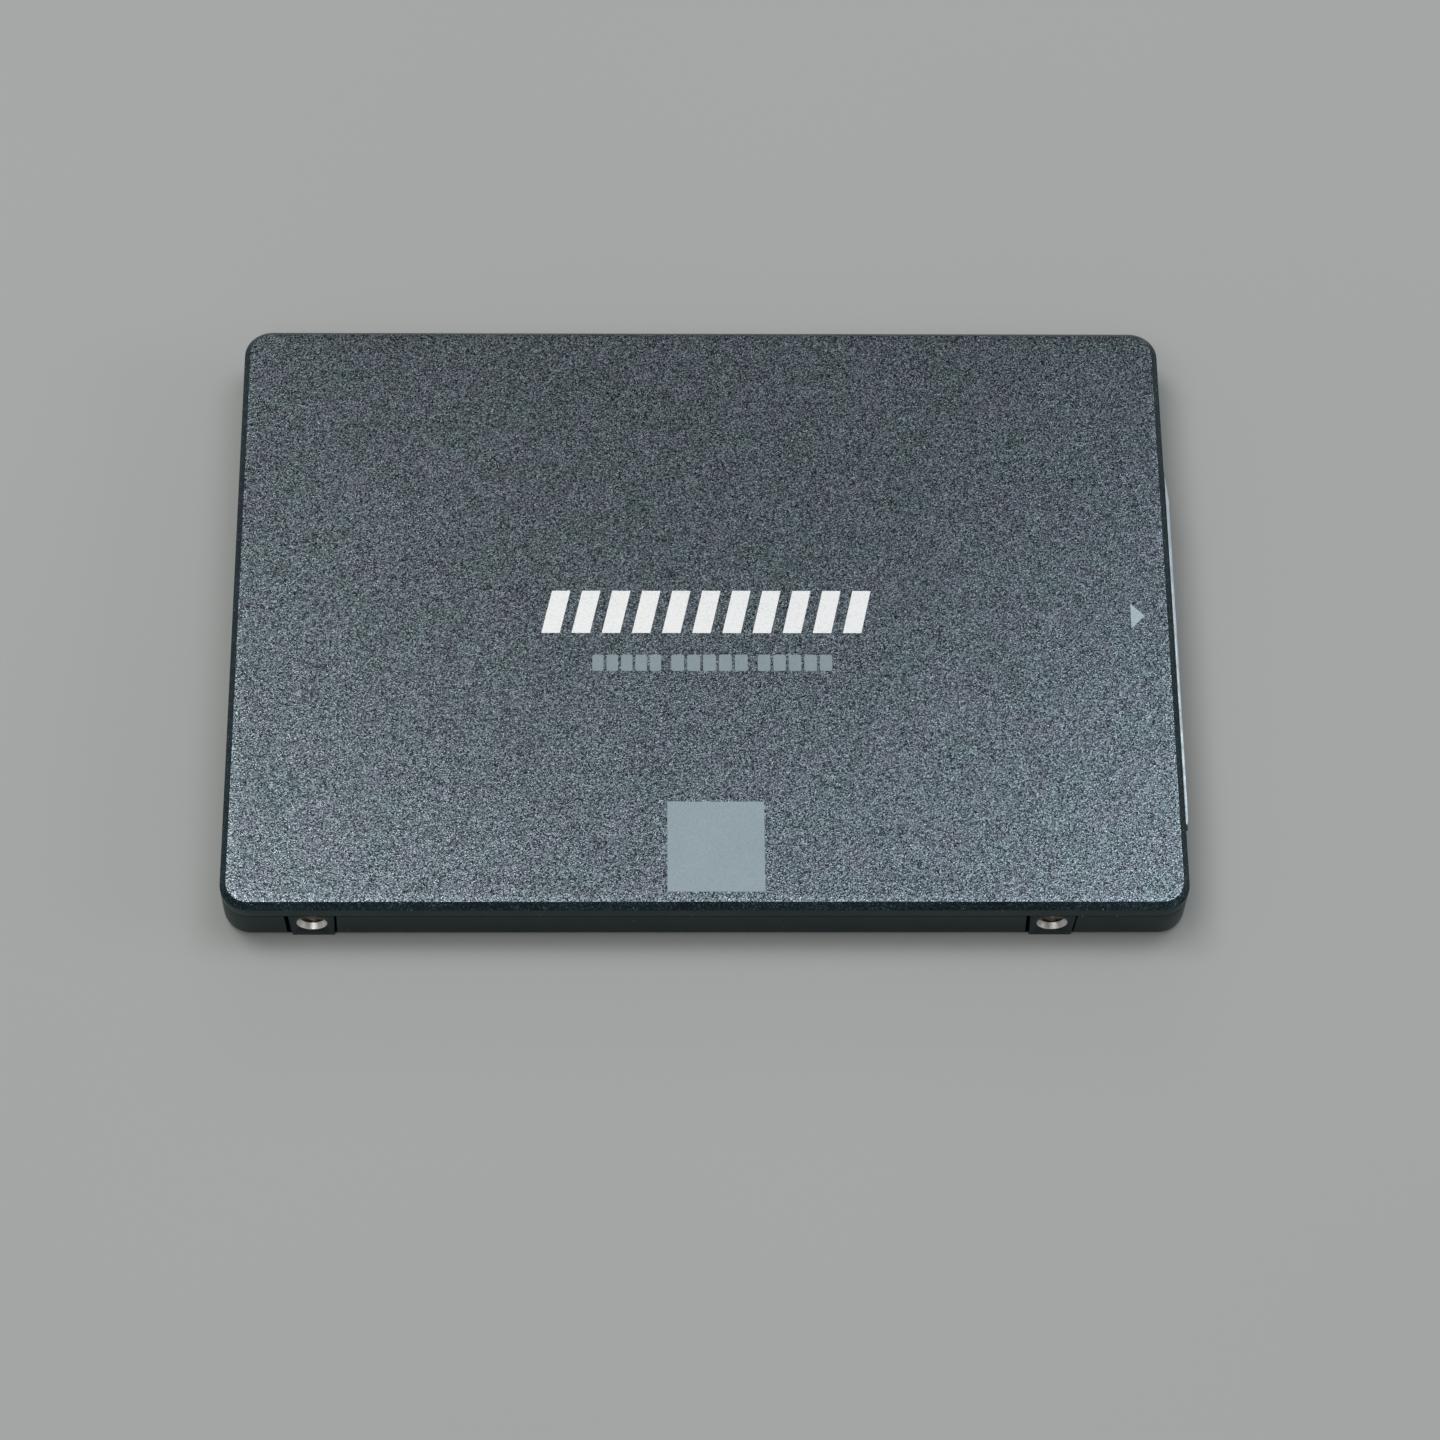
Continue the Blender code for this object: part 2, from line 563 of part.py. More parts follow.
def make_plug_housing(material):
    half = PLUG_WIDTH / 2
    back, front, tip = (from_plug(d) for d in (PLUG_BODY_BACK, PLUG_BODY_FRONT, TONGUE_END))
    root = front - BITE
    housing = box_between("sata_plug_housing", (back, PLUG_MIDDLE_Y - half, CHIP_BOTTOM),
                          (front, PLUG_MIDDLE_Y + half, PLUG_BODY_TOP), material)
    power_inner = POWER_OUTER_Y + POWER_WIDTH
    signal_inner = SIGNAL_OUTER_Y - SIGNAL_WIDTH
    spans = (("power_tongue", POWER_OUTER_Y, power_inner, TONGUE_BOTTOM, TONGUE_TOP),
             ("signal_tongue", signal_inner, SIGNAL_OUTER_Y, TONGUE_BOTTOM, TONGUE_TOP),
             ("power_key", power_inner - KEY_WIDTH, power_inner, KEY_BOTTOM, TONGUE_TOP),
             ("signal_key", signal_inner, signal_inner + KEY_WIDTH, KEY_BOTTOM, TONGUE_TOP),
             ("power_ear", PLUG_MIDDLE_Y - half, PLUG_MIDDLE_Y - half + EAR_WIDTH,
              KEY_BOTTOM, EAR_TOP),
             ("signal_ear", PLUG_MIDDLE_Y + half - EAR_WIDTH, PLUG_MIDDLE_Y + half,
              KEY_BOTTOM, EAR_TOP))
    for name, low_y, high_y, low_z, high_z in spans:
        bar = box_between(name, (root, low_y, low_z), (tip, high_y, high_z))
        boolean(housing, bar, "UNION")
    groove_top = TONGUE_BOTTOM + CONTACT_THICKNESS + GAP
    for low, high in lock_shapes(GAP)[1::2]:
        boolean(housing, box_between("lock_pocket", low, high), "DIFFERENCE")
    for _, _, y in contact_rows():
        groove = box_between(
            "contact_groove",
            (back - OVERSHOOT, y - GROOVE_WIDTH / 2, KEY_BOTTOM - OVERSHOOT),
            (tip + OVERSHOOT, y + GROOVE_WIDTH / 2, groove_top))
        boolean(housing, groove, "DIFFERENCE")


def make_contacts(material):
    """Flat blades under the tongues, bent down behind the plug to the board."""
    thick = CONTACT_THICKNESS
    low = TONGUE_BOTTOM
    high = low + thick
    foot = CHIP_BOTTOM
    bend = from_plug(PLUG_BODY_BACK + CONTACT_BEND)
    heel = bend - CONTACT_FOOT
    for group, number, y in contact_rows():
        setback = LAST_MATE_SETBACK
        if (group, number) in SECOND_MATE:
            setback = SECOND_MATE_SETBACK
        if (group, number) in FIRST_MATE:
            setback = FIRST_MATE_SETBACK
        tip = from_plug(setback)
        outline = [(tip, low + thick / 2), (tip, high), (bend - thick, high),
                   (bend - thick, foot + thick), (heel, foot + thick),
                   (heel, foot), (bend, foot), (bend, low), (tip - CONTACT_TIP_SLOPE, low)]
        side_profile("{}_contact_{}".format(group, number), outline, CONTACT_WIDTH,
                     (0.0, y, 0.0), material)


# ---------------------------------------------------------------- assembly

clear_scene()
PARTS = new_collection("solid_state_drive")
CUTTERS = new_collection("cutters")

painted_cover = make_material("painted_cover", (0.11, 0.14, 0.16), 0.45, 0.6)
black_case = make_material("black_case", (0.015, 0.02, 0.022), 0.4, 0.2)
steel = make_material("steel", (0.55, 0.54, 0.52), 0.3, 1.0)
label_film = make_material("label_film", (0.03, 0.032, 0.035), 0.5, 0.0)
board_green = make_material("board_green", (0.01, 0.08, 0.06), 0.4, 0.0)
black_plastic = make_material("black_plastic", (0.02, 0.02, 0.02), 0.5, 0.0)
gold = make_material("gold", (0.85, 0.6, 0.25), 0.25, 1.0)
moulding = make_material("chip_moulding", (0.03, 0.03, 0.032), 0.6, 0.0)
tin = make_material("tin", (0.6, 0.6, 0.58), 0.35, 1.0)
ferrite = make_material("ferrite", (0.06, 0.055, 0.05), 0.7, 0.0)
ceramic = make_material("ceramic", (0.36, 0.26, 0.17), 0.5, 0.0)
silicone = make_material("silicone", (0.36, 0.4, 0.45), 0.8, 0.0)

plug_opening, block_notches = make_case_cutters()
make_upper_shell(plug_opening, block_notches, painted_cover)
make_lower_shell(plug_opening, block_notches, black_case)
make_mount_blocks(black_case)
make_case_screws(steel)
make_rear_label(label_film)
make_board(board_green)
make_board_locks(tin)
make_chips(moulding, tin)
make_power_parts(ceramic, ferrite)
make_thermal_pads(silicone)
make_plug_housing(black_plastic)
make_contacts(gold)
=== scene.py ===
"""Looks of a 2.5 inch solid state drive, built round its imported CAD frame.

Fine shells, mounting blocks with cut threads, a SATA plug, contacts, screws, chips and a
label stand for the plain CAD solids, and the print on the cover is looks only. Lengths are
in metres, as in the frame, unless a comment says mm.
"""

from math import cos, pi, radians, sin, tan

import bmesh
import bpy
from mathutils import Matrix, Vector


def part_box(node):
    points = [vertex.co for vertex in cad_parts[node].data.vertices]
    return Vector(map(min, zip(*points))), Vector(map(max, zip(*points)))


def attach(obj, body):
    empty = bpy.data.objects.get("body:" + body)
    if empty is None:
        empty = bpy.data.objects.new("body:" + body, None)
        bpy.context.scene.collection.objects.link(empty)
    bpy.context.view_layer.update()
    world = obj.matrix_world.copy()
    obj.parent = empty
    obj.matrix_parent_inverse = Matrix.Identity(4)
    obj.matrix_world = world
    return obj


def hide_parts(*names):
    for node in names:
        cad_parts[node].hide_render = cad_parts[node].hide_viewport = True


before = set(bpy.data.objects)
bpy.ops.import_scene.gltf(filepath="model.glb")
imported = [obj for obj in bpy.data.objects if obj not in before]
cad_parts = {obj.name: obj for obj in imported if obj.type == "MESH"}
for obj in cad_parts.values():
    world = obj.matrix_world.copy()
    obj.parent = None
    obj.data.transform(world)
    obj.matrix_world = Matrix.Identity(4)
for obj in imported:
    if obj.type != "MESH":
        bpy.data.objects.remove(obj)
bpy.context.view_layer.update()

MM = 0.001
BODY = "root"
MERGE = 0.003 * MM  # points closer than this become one
SAME = 0.001 * MM  # places closer than this are the same
OVERSHOOT = 1.0 * MM  # how far a cutter reaches past what it cuts
BITE = 0.2 * MM  # how far a joined piece sinks into the other
CIRCLE_STEPS = 40
SMOOTH_ANGLE, FLAT_ANGLE = 32.0, 20.0  # degrees: sharper edges stay sharp
ROUND_ANGLE, CAD_ROUND_ANGLE = 60.0, 50.0  # degrees: sharper edges are rounded

# Case: where the shells lie
BASE_LOW, BASE_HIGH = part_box("lower_shell")
COVER_LOW, COVER_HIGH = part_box("upper_shell")
CLOSED_END, PLUG_END = BASE_LOW.x, BASE_HIGH.x
SHELL_END = PLUG_END + 0.13 * MM  # the fine shells' plug end
MIDDLE_X = (CLOSED_END + PLUG_END) / 2
HALF_WIDTH = BASE_HIGH.y
TOP = COVER_HIGH.z
SPLIT = BASE_HIGH.z  # the parting line
CORNER_RADIUS = 3.0 * MM
CORNER_STEPS = 16
WALL = 1.0 * MM
COVER_UNDERSIDE = TOP - 0.8 * MM
PRINT_HEIGHT = 0.02 * MM  # how far the print stands on the cover
FACE = TOP - PRINT_HEIGHT  # the painted face
FACE_MARGIN = 0.02 * MM  # faces within this of it are painted
FACE_UP = 0.98  # if their normals' upward part is over this
EDGE_INSET = 0.66 * MM  # chamfer round the painted face
EDGE_DROP = 0.7 * MM
EDGE_ROUND = 0.12 * MM  # between the chamfer and the side
FACE_ROUND = 0.05 * MM  # between the chamfer and the face
HAIRLINE = 0.07 * MM  # gap between the shells
SKIRT_BOTTOM = SPLIT + HAIRLINE
RIB_OUTER = 1.3 * MM  # insets of the rib inside the lower shell's wall
RIB_INNER = 2.0 * MM
RIB_BOTTOM = COVER_LOW.z
RIB_GAP = 0.3 * MM  # the rib stops this far short of a mounting block
RIB_GAP_INSET = 1.15 * MM  # the gap's reach towards the wall
RIB_GAP_TOP = SKIRT_BOTTOM + 0.4 * MM
BASE_ROUND = 0.85 * MM
LIP = 0.05 * MM  # small rounding where a wall ends
CUT_ROUND = 0.06 * MM  # rounding of the edges of cut openings
# EDGE and SIDE hold one black finish in two colours, as painted reflection
PAINT, EDGE, METAL, SIDE = range(4)  # the cover's material slots

# Mounting blocks
BLOCKS = {  # each block, and the widths of the slots at its low-X and high-X sides
    "mount_block_plug_front": (0.40 * MM, 0.16 * MM),
    "mount_block_plug_back": (0.26 * MM, 0.34 * MM),
    "mount_block_closed_front": (0.44 * MM, 0.26 * MM),
    "mount_block_closed_back": (0.24 * MM, 0.38 * MM)}
BLOCK_TAPER = 0.2 * MM  # each side leans in by this much towards the base
BLOCK_ROUND = 0.1 * MM
NOTCH_DEPTH = 7.4 * MM
SLOT_FLOOR = 0.45 * MM  # the slots beside a block stop above the base
SLOT_GROOVE = 0.15 * MM  # and show as a groove in its underside
FIT = 0.03 * MM  # between a block and the base below the slots
SIDE_HOLE_HEIGHT = 3.0 * MM
BOTTOM_HOLE_Y = 61.72 / 2 * MM
SIDE_HOLE_DEPTH, BOTTOM_HOLE_DEPTH = 5.4 * MM, 3.6 * MM
THREAD_PITCH = 0.5 * MM
THREAD_MINOR, THREAD_MAJOR = 1.25 * MM, 1.5 * MM  # radii at its crest and root
THREAD_STEPS, THREAD_ROWS = 36, 8  # points round a ring, and rings in a turn
HOLE_RIM = 1.58 * MM
HOLE_RIM_DEPTH = 0.6 * MM
HOLE_RIM_STEP = 0.05 * MM
HOLE_RIM_EASE = 0.02 * MM
DRILL_POINT = 0.1 * MM  # radius at the bottom of a hole
BLOCK_SIDE, BLOCK_RIM, BLOCK_THREAD = range(3)  # the blocks' material slots

# Case screws, what they go through, and the label's recess
SCREWS = ("case_screw_1", "case_screw_2", "case_screw_3")
SCREW_PLACES = [((low.x + high.x) / 2, (low.y + high.y) / 2) for low, high in map(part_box, SCREWS)]
COUNTERBORE_RADIUS = 1.8 * MM
COUNTERBORE_DEPTH = 0.9 * MM
SCREW_PAD_RADIUS = 2.5 * MM
SCREW_PAD_TOP = 1.6 * MM
SCREW_BOSS_RADIUS = 2.2 * MM
SCREW_BOSS_BOTTOM = SCREW_PAD_TOP + 0.3 * MM
SHANK_CLEARANCE = 0.85 * MM
PILOT_TOP = SPLIT + 0.3 * MM
SCREW_HEAD = (  # inset and height, mm
    (0.22, 0.0), (0.05, 0.06), (0.0, 0.16), (0.0, 0.40), (0.05, 0.45))
SCREW_HEAD_HEIGHT = 0.45 * MM
SCREW_CORE, SCREW_RIDGE = 0.55, 0.14  # radius of the shank and height of its thread, mm
SCREW_PITCH = 0.4 * MM
SCREW_STEPS, SCREW_ROWS = 32, 4  # points round a ring, and rings in a turn
SCREW_NECK, SCREW_TIP = 0.5 * MM, 0.3 * MM  # radii at the start and end of the point
SCREW_TIP_LENGTH = 0.3 * MM
SCREW_RECESS, SCREW_LOBE = 0.68, 0.11  # mean radius of the six-lobed recess, and its wave, mm
SCREW_RECESS_STEPS = 48
SCREW_RECESS_DEPTH = 0.3 * MM
SCREW_ROUND = 0.03 * MM
LABEL_LOW, LABEL_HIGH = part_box("rear_label")
RECESS_MARGIN, RECESS_CORNER = 0.3, 1.8  # mm
RECESS_DEPTH = 0.55 * MM
LABEL_CORNER = 1.5  # mm
LABEL_EDGE = ((0.05, 0.01), (0.02, 0.03), (0.0, 0.07))  # inset and height, mm
LABEL_STEPS = 6
FIELD_HEIGHT = 0.03 * MM
FIELD_CORNER = 0.4 * MM
LABEL_FIELDS = (  # X, Y, width and height from the label's middle, mm
    (-38.0, 17.5, 40.0, 5.0), (-38.0, 12.6, 26.0, 1.6), (-38.0, 9.4, 26.0, 1.6),
    (-38.0, 6.2, 18.0, 1.6), (22.0, -21.0, 16.0, 16.0), (-38.0, -21.0, 34.0, 10.0))

# Board and the posts that hold it
BOARD_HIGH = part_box("printed_circuit_board")[1]
POSTS = [(PLUG_END - distance * MM, side * 24.0 * MM)
         for distance in (14.0, 74.0) for side in (-1, 1)]
POST_PROFILE = (  # radius and height, mm
    (1.6, 0.8), (1.6, 1.62), (1.52, 1.7), (0.6, 1.7), (0.6, 2.8), (0.5, 2.9))
POST_STEPS = 24

# The cover's bare trimmed edge over the plug, and the stub beside it
STRIP_LOW_Y, STRIP_HIGH_Y = -25.1 * MM, 17.4 * MM
STRIP_ROOT = PLUG_END - 0.3 * MM
STRIP_THICKNESS = 0.26 * MM
STRIP_EDGE = 0.04 * MM
STRIP_NEAR = ((0.20, 0.0), (0.30, 0.9), (0.32, 5.0))  # out of the shell, from its near end, mm
STRIP_FAR = ((0.39, 3.6), (0.18, 1.2), (0.02, 0.0))  # out of the shell, from its far end, mm
STUB_LOW, STUB_HIGH = (-0.3, -0.5, -0.55), (0.2, -0.08, 0.05)  # from the strip's near end, mm
STUB_ROUND = 0.08 * MM

# Plug
PLUG_LOW, PLUG_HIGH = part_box("sata_plug_housing")
PLUG_MIDDLE = (PLUG_LOW.y + PLUG_HIGH.y) / 2
OPENING_MARGIN = 0.3 * MM
OPENING_BACK = BOARD_HIGH.x + 0.3 * MM
PLUG_BODY_DEPTH = 4.0 * MM
PLUG_BODY_BOTTOM = BOARD_HIGH.z + 0.3 * MM
PLUG_OVERLAP = 0.3 * MM  # how far tongues and ears sink into the body
TONGUE_LOW, TONGUE_HIGH = 3.5 * MM, 4.73 * MM
TONGUES_WIDTH = 33.39 * MM
POWER_WIDTH, SIGNAL_WIDTH = 20.57 * MM, 10.41 * MM
KEY_WIDTH = 1.2 * MM
EAR_WIDTH = 3.2 * MM
EAR_TOP = 5.4 * MM
GROOVE_WIDTH = 0.96 * MM
GROOVE_FLOOR = 0.06 * MM  # above a contact's own top
LOCKS = ("board_lock_power", "board_lock_signal")
LOCK_MARGIN = 0.1 * MM
POCKET_DEPTH = 0.35 * MM
POCKET_INSET = 0.8 * MM
POCKET_LENGTH = 5.5 * MM
POWER_POCKETS = (3.0 * MM, 11.0 * MM)  # from the power tongue's low side
SIGNAL_POCKET = 3.4 * MM  # from the signal tongue's
PLUG_ROUND = 0.09 * MM
CONTACTS = ([f"power_contact_{number}" for number in range(1, 16)]
            + [f"signal_contact_{number}" for number in range(1, 8)])
CONTACT_THICKNESS = 0.22 * MM
CONTACT_BEND = 1.2 * MM  # from the foot's end to the bend
CONTACT_EDGE = 0.05 * MM

# Inner parts
PACKAGES = (["controller_chip", "dram_chip", "power_management_chip"]
            + [f"flash_package_{number}" for number in range(1, 5)])
LAMINATE_SHARE = 0.25  # of a package's height
DIMPLE_PLACE, DIMPLE_RADIUS, DIMPLE_DEPTH = 1.0 * MM, 0.3 * MM, 0.05 * MM
CAP_END = 0.55 * MM  # tinned end of a capacitor
CAP_STEP = 0.04 * MM
CAP_CORNER = 0.18 * MM
CAP_EDGE = ((0.0, 0.1), (0.08, 0.02), (0.2, 0.0))  # place along the end and inset, mm
INDUCTOR_CORNER = 0.95  # mm
SMALL_STEPS = 4

# Print on the cover, in mm: X from the middle of the case, Y as in the frame
BARS_START, BARS_LOW, BARS_HIGH = -17.17, -2.9, 2.2
BAR_WIDTH, BAR_PITCH, BAR_SLANT, BAR_COUNT = 1.95, 3.2, 1.1, 11
DASHES_START, DASHES_LOW, DASHES_HIGH = -11.75, -7.45, -5.5
DASH_GROUPS = (7.6, 8.4, 8.2)  # widths of the groups
DASHES_IN_GROUP, DASH_GAP, GROUP_GAP, DASH_CORNER = 5, 0.32, 0.75, 0.2
SQUARE_LOW, SQUARE_HIGH, SQUARE_CORNER = (-3.87, -33.13), (6.2, -22.81), 0.1
ARROW = ((-4.45, -2.27), (-2.97, -0.8), (-4.45, 0.73))  # X from the plug end

# Camera: the angle and distance of the photograph
CAMERA_PLACE = Vector((-7.42, -223.5, 416.4)) * MM
CAMERA_AZIMUTH = radians(2.42)
CAMERA_DOWN = radians(62.81)
CAMERA_ROLL = radians(2.18)
CAMERA_LENS = 109.65
CAMERA_CLIP = (0.01, 20.0)
SENSOR_WIDTH = 36.0

# Studio: name, place, size, power in watts, colour, and the point that the light faces
WHITE = (1.0, 1.0, 1.0)
LIGHTS = (
    ("left_softbox", (-0.305, 0.215, 0.863), (0.34, 0.54), 2.2, (1.0, 1.0, 0.975), (0.0, 0.0, 0.0)),
    ("right_softbox", (0.30, 0.215, 0.863), (0.34, 0.54), 1.5, (0.95, 1.0, 1.05), (0.0, 0.0, 0.0)),
    ("front_softbox", (-0.30, -0.36, 0.83), (0.8, 0.34), 1.38, WHITE, (0.0, 0.0, 0.0)),
    ("plug_fill", (0.62, -0.05, 0.24), (0.3, 0.16), 0.4, WHITE, (0.04, 0.0, 0.0)),
    ("back_fill", (0.0, 0.62, 0.26), (0.4, 0.16), 0.22, WHITE, (0.0, 0.03, 0.0)))
WORLD_STRENGTH = 0.16
FLOOR_HALF = 3.0
FLOOR_DROP = 0.01 * MM  # keeps the floor clear of the underside


# ---------- mesh helpers

def new_object(name, bm, *materials):
    """An object at the origin, its mesh in the frame's own place."""
    bmesh.ops.recalc_face_normals(bm, faces=bm.faces)
    mesh = bpy.data.meshes.new(name)
    bm.to_mesh(mesh)
    bm.free()
    for material in materials:
        mesh.materials.append(material)
    ob = bpy.data.objects.new(name, mesh)
    bpy.context.scene.collection.objects.link(ob)
    return ob


def add_loft(bm, rings, material=0):
    """A closed solid through rings of equal length, with its first and last ring capped."""
    rows = [[bm.verts.new(point) for point in ring] for ring in rings]
    count = len(rows[0])
    faces = []
    for low, high in zip(rows, rows[1:]):
        for i in range(count):
            j = (i + 1) % count
            faces.append(bm.faces.new((low[i], low[j], high[j], high[i])))
    faces.append(bm.faces.new(rows[0][::-1]))
    faces.append(bm.faces.new(rows[-1]))
    for face in faces:
        face.material_index = material


def loft(name, rings, *materials, material=0):
    bm = bmesh.new()
    add_loft(bm, rings, material)
    return new_object(name, bm, *materials)


def add_prism(bm, outline, low, high):
    """An upright prism over an outline in XY."""
    add_loft(bm, [[(x, y, z) for x, y in outline] for z in (low, high)])


def circle(middle, radius, z, steps=CIRCLE_STEPS):
    return [(middle[0] + radius * cos(2 * pi * step / steps),
             middle[1] + radius * sin(2 * pi * step / steps), z) for step in range(steps)]


def turned(name, middle, profile, *materials, material=0, steps=CIRCLE_STEPS):
    """An upright turned solid through points of (radius, height)."""
    rings = [circle(middle, radius, z, steps) for radius, z in profile]
    return loft(name, rings, *materials, material=material)


def rounded_ring(low, high, z, radius, steps=CORNER_STEPS):
    """Points of a rounded rectangle in XY, anticlockwise, at one height."""
    corners = ((high[0] - radius, high[1] - radius), (low[0] + radius, high[1] - radius),
               (low[0] + radius, low[1] + radius), (high[0] - radius, low[1] + radius))
    ring = []
    for quarter, (x, y) in enumerate(corners):
        for step in range(steps + 1):
            turn = (quarter + step / steps) * pi / 2
            ring.append((x + radius * cos(turn), y + radius * sin(turn), z))
    return ring


def rounded_outline(low, high, radius, steps):
    """The same rectangle as points in XY only."""
    return [point[:2] for point in rounded_ring(low, high, 0.0, radius, steps)]


def inset_rings(low, high, rows, steps):
    """Rounded rectangles in a box's outline, by rows of (inset in mm, height, corner in mm)."""
    return [rounded_ring((low.x + inset * MM, low.y + inset * MM),
                         (high.x - inset * MM, high.y - inset * MM), z, corner * MM, steps)
            for inset, z, corner in rows]


def case_profile(corners):
    """Rings of the case's outline along a profile of (inset, height, radius) corners."""
    points = [(inset, height) for inset, height, _ in corners]
    radii = [radius for _, _, radius in corners[1:-1]]
    return [rounded_ring((CLOSED_END + inset, inset - HALF_WIDTH),
                         (SHELL_END - inset, HALF_WIDTH - inset), z, CORNER_RADIUS - inset)
            for inset, z in round_corners(points, radii)]


def round_corners(points, radii, steps=5):
    """A polyline with each inner corner turned into an arc of its own radius."""
    points = [Vector(point) for point in points]
    rounded = [points[0]]
    for before, here, after, radius in zip(points, points[1:], points[2:], radii):
        if not radius:
            rounded.append(here)
            continue
        to_before = (before - here).normalized()
        to_after = (after - here).normalized()
        half = to_before.angle(to_after) / 2
        centre = here + (to_before + to_after).normalized() * radius / sin(half)
        start = here + to_before * radius / tan(half) - centre
        end = here + to_after * radius / tan(half) - centre
        for step in range(steps + 1):
            rounded.append(centre + start.slerp(end, step / steps).normalized() * radius)
    rounded.append(points[-1])
    return rounded


def inset_outline(points, distance):
    """A closed outline moved inwards by a small distance."""
    if not distance:
        return points
    area = sum(a[0] * b[1] - b[0] * a[1] for a, b in zip(points, points[1:] + points[:1]))
    turn = 1.0 if area > 0 else -1.0
    moved = []
    for before, here, after in zip(points[-1:] + points[:-1], points, points[1:] + points[:1]):
        first = (Vector(here) - Vector(before)).normalized()
        second = (Vector(after) - Vector(here)).normalized()
        inward = Vector((-first.y - second.y, first.x + second.x)) * turn
        inward = inward / (1.0 + first.dot(second))
        moved.append(tuple(Vector(here) + inward * distance))
    return moved


def add_box(bm, low, high, rounding=0.0, material=0):
    """A block between two corners, with its edges rounded if need be."""
    verts = bmesh.ops.create_cube(bm, size=1.0)["verts"]
    bmesh.ops.scale(bm, vec=Vector(high) - Vector(low), verts=verts)
    bmesh.ops.translate(bm, vec=(Vector(high) + Vector(low)) / 2, verts=verts)
    faces = {face for vert in verts for face in vert.link_faces}
    if rounding:
        edges = {edge for vert in verts for edge in vert.link_edges}
        made = bmesh.ops.bevel(bm, geom=list(edges), offset=rounding, segments=2,
                               profile=0.5, affect="EDGES")
        faces = set(made["faces"]) | {face for face in faces if face.is_valid}
    for face in faces:
        face.material_index = material


def box(name, low, high, *materials, rounding=0.0, material=0):
    bm = bmesh.new()
    add_box(bm, low, high, rounding, material)
    return new_object(name, bm, *materials)


def lean_in(bm, middle, bottom, height):
    """Lean the sides of a mounting block, or of its cutter, in towards the base."""
    for vert in bm.verts:
        share = 1.0 - max(0.0, vert.co.z - bottom) / height
        vert.co.x += BLOCK_TAPER * share * (1.0 if vert.co.x < middle else -1.0)


def apply_modifiers(ob):
    """Keep the shape that the modifiers make, and drop the modifiers."""
    depsgraph = bpy.context.evaluated_depsgraph_get()
    made = bpy.data.meshes.new_from_object(ob.evaluated_get(depsgraph))
    ob.modifiers.clear()
    ob.data = made


def boolean(target, tools, operation="DIFFERENCE"):
    """Cut or join the tools, one by one, and remove them."""
    for tool in tools:
        modifier = target.modifiers.new("cut", "BOOLEAN")
        modifier.object = tool
        modifier.operation = operation
        modifier.solver = "EXACT"
        modifier.material_mode = "INDEX"
    apply_modifiers(target)
    for tool in tools:
        bpy.data.objects.remove(tool)


def merge_close(ob):
    """Merge points closer than a few microns, and take out the faces they leave empty."""
    bm = bmesh.new()
    bm.from_mesh(ob.data)
    bmesh.ops.remove_doubles(bm, verts=bm.verts, dist=MERGE)
    bmesh.ops.dissolve_degenerate(bm, edges=bm.edges, dist=MERGE)
    bm.to_mesh(ob.data)
    bm.free()


def add_bevel(ob, width, angle, segments=2):
    """A modifier that rounds the edges sharper than an angle in degrees."""
    modifier = ob.modifiers.new("bevel", "BEVEL")
    modifier.width = width
    modifier.segments = segments
    modifier.limit_method = "ANGLE"
    modifier.angle_limit = radians(angle)
    return modifier


def round_edges(ob, width, segments=2, clamp=True):
    """Round a piece's sharp edges for good."""
    merge_close(ob)
    add_bevel(ob, width, ROUND_ANGLE, segments).use_clamp_overlap = clamp
    apply_modifiers(ob)
    merge_close(ob)


def finish_piece(ob, slot, *nodes, angle=SMOOTH_ANGLE):
    """Shade by angle, hide the CAD nodes that the piece stands for, and hang it on its body."""
    ob.data.shade_smooth()
    ob.data.set_sharp_from_angle(angle=radians(angle))
    if nodes:
        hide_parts(*nodes)
    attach(ob, BODY)


# ---------- materials

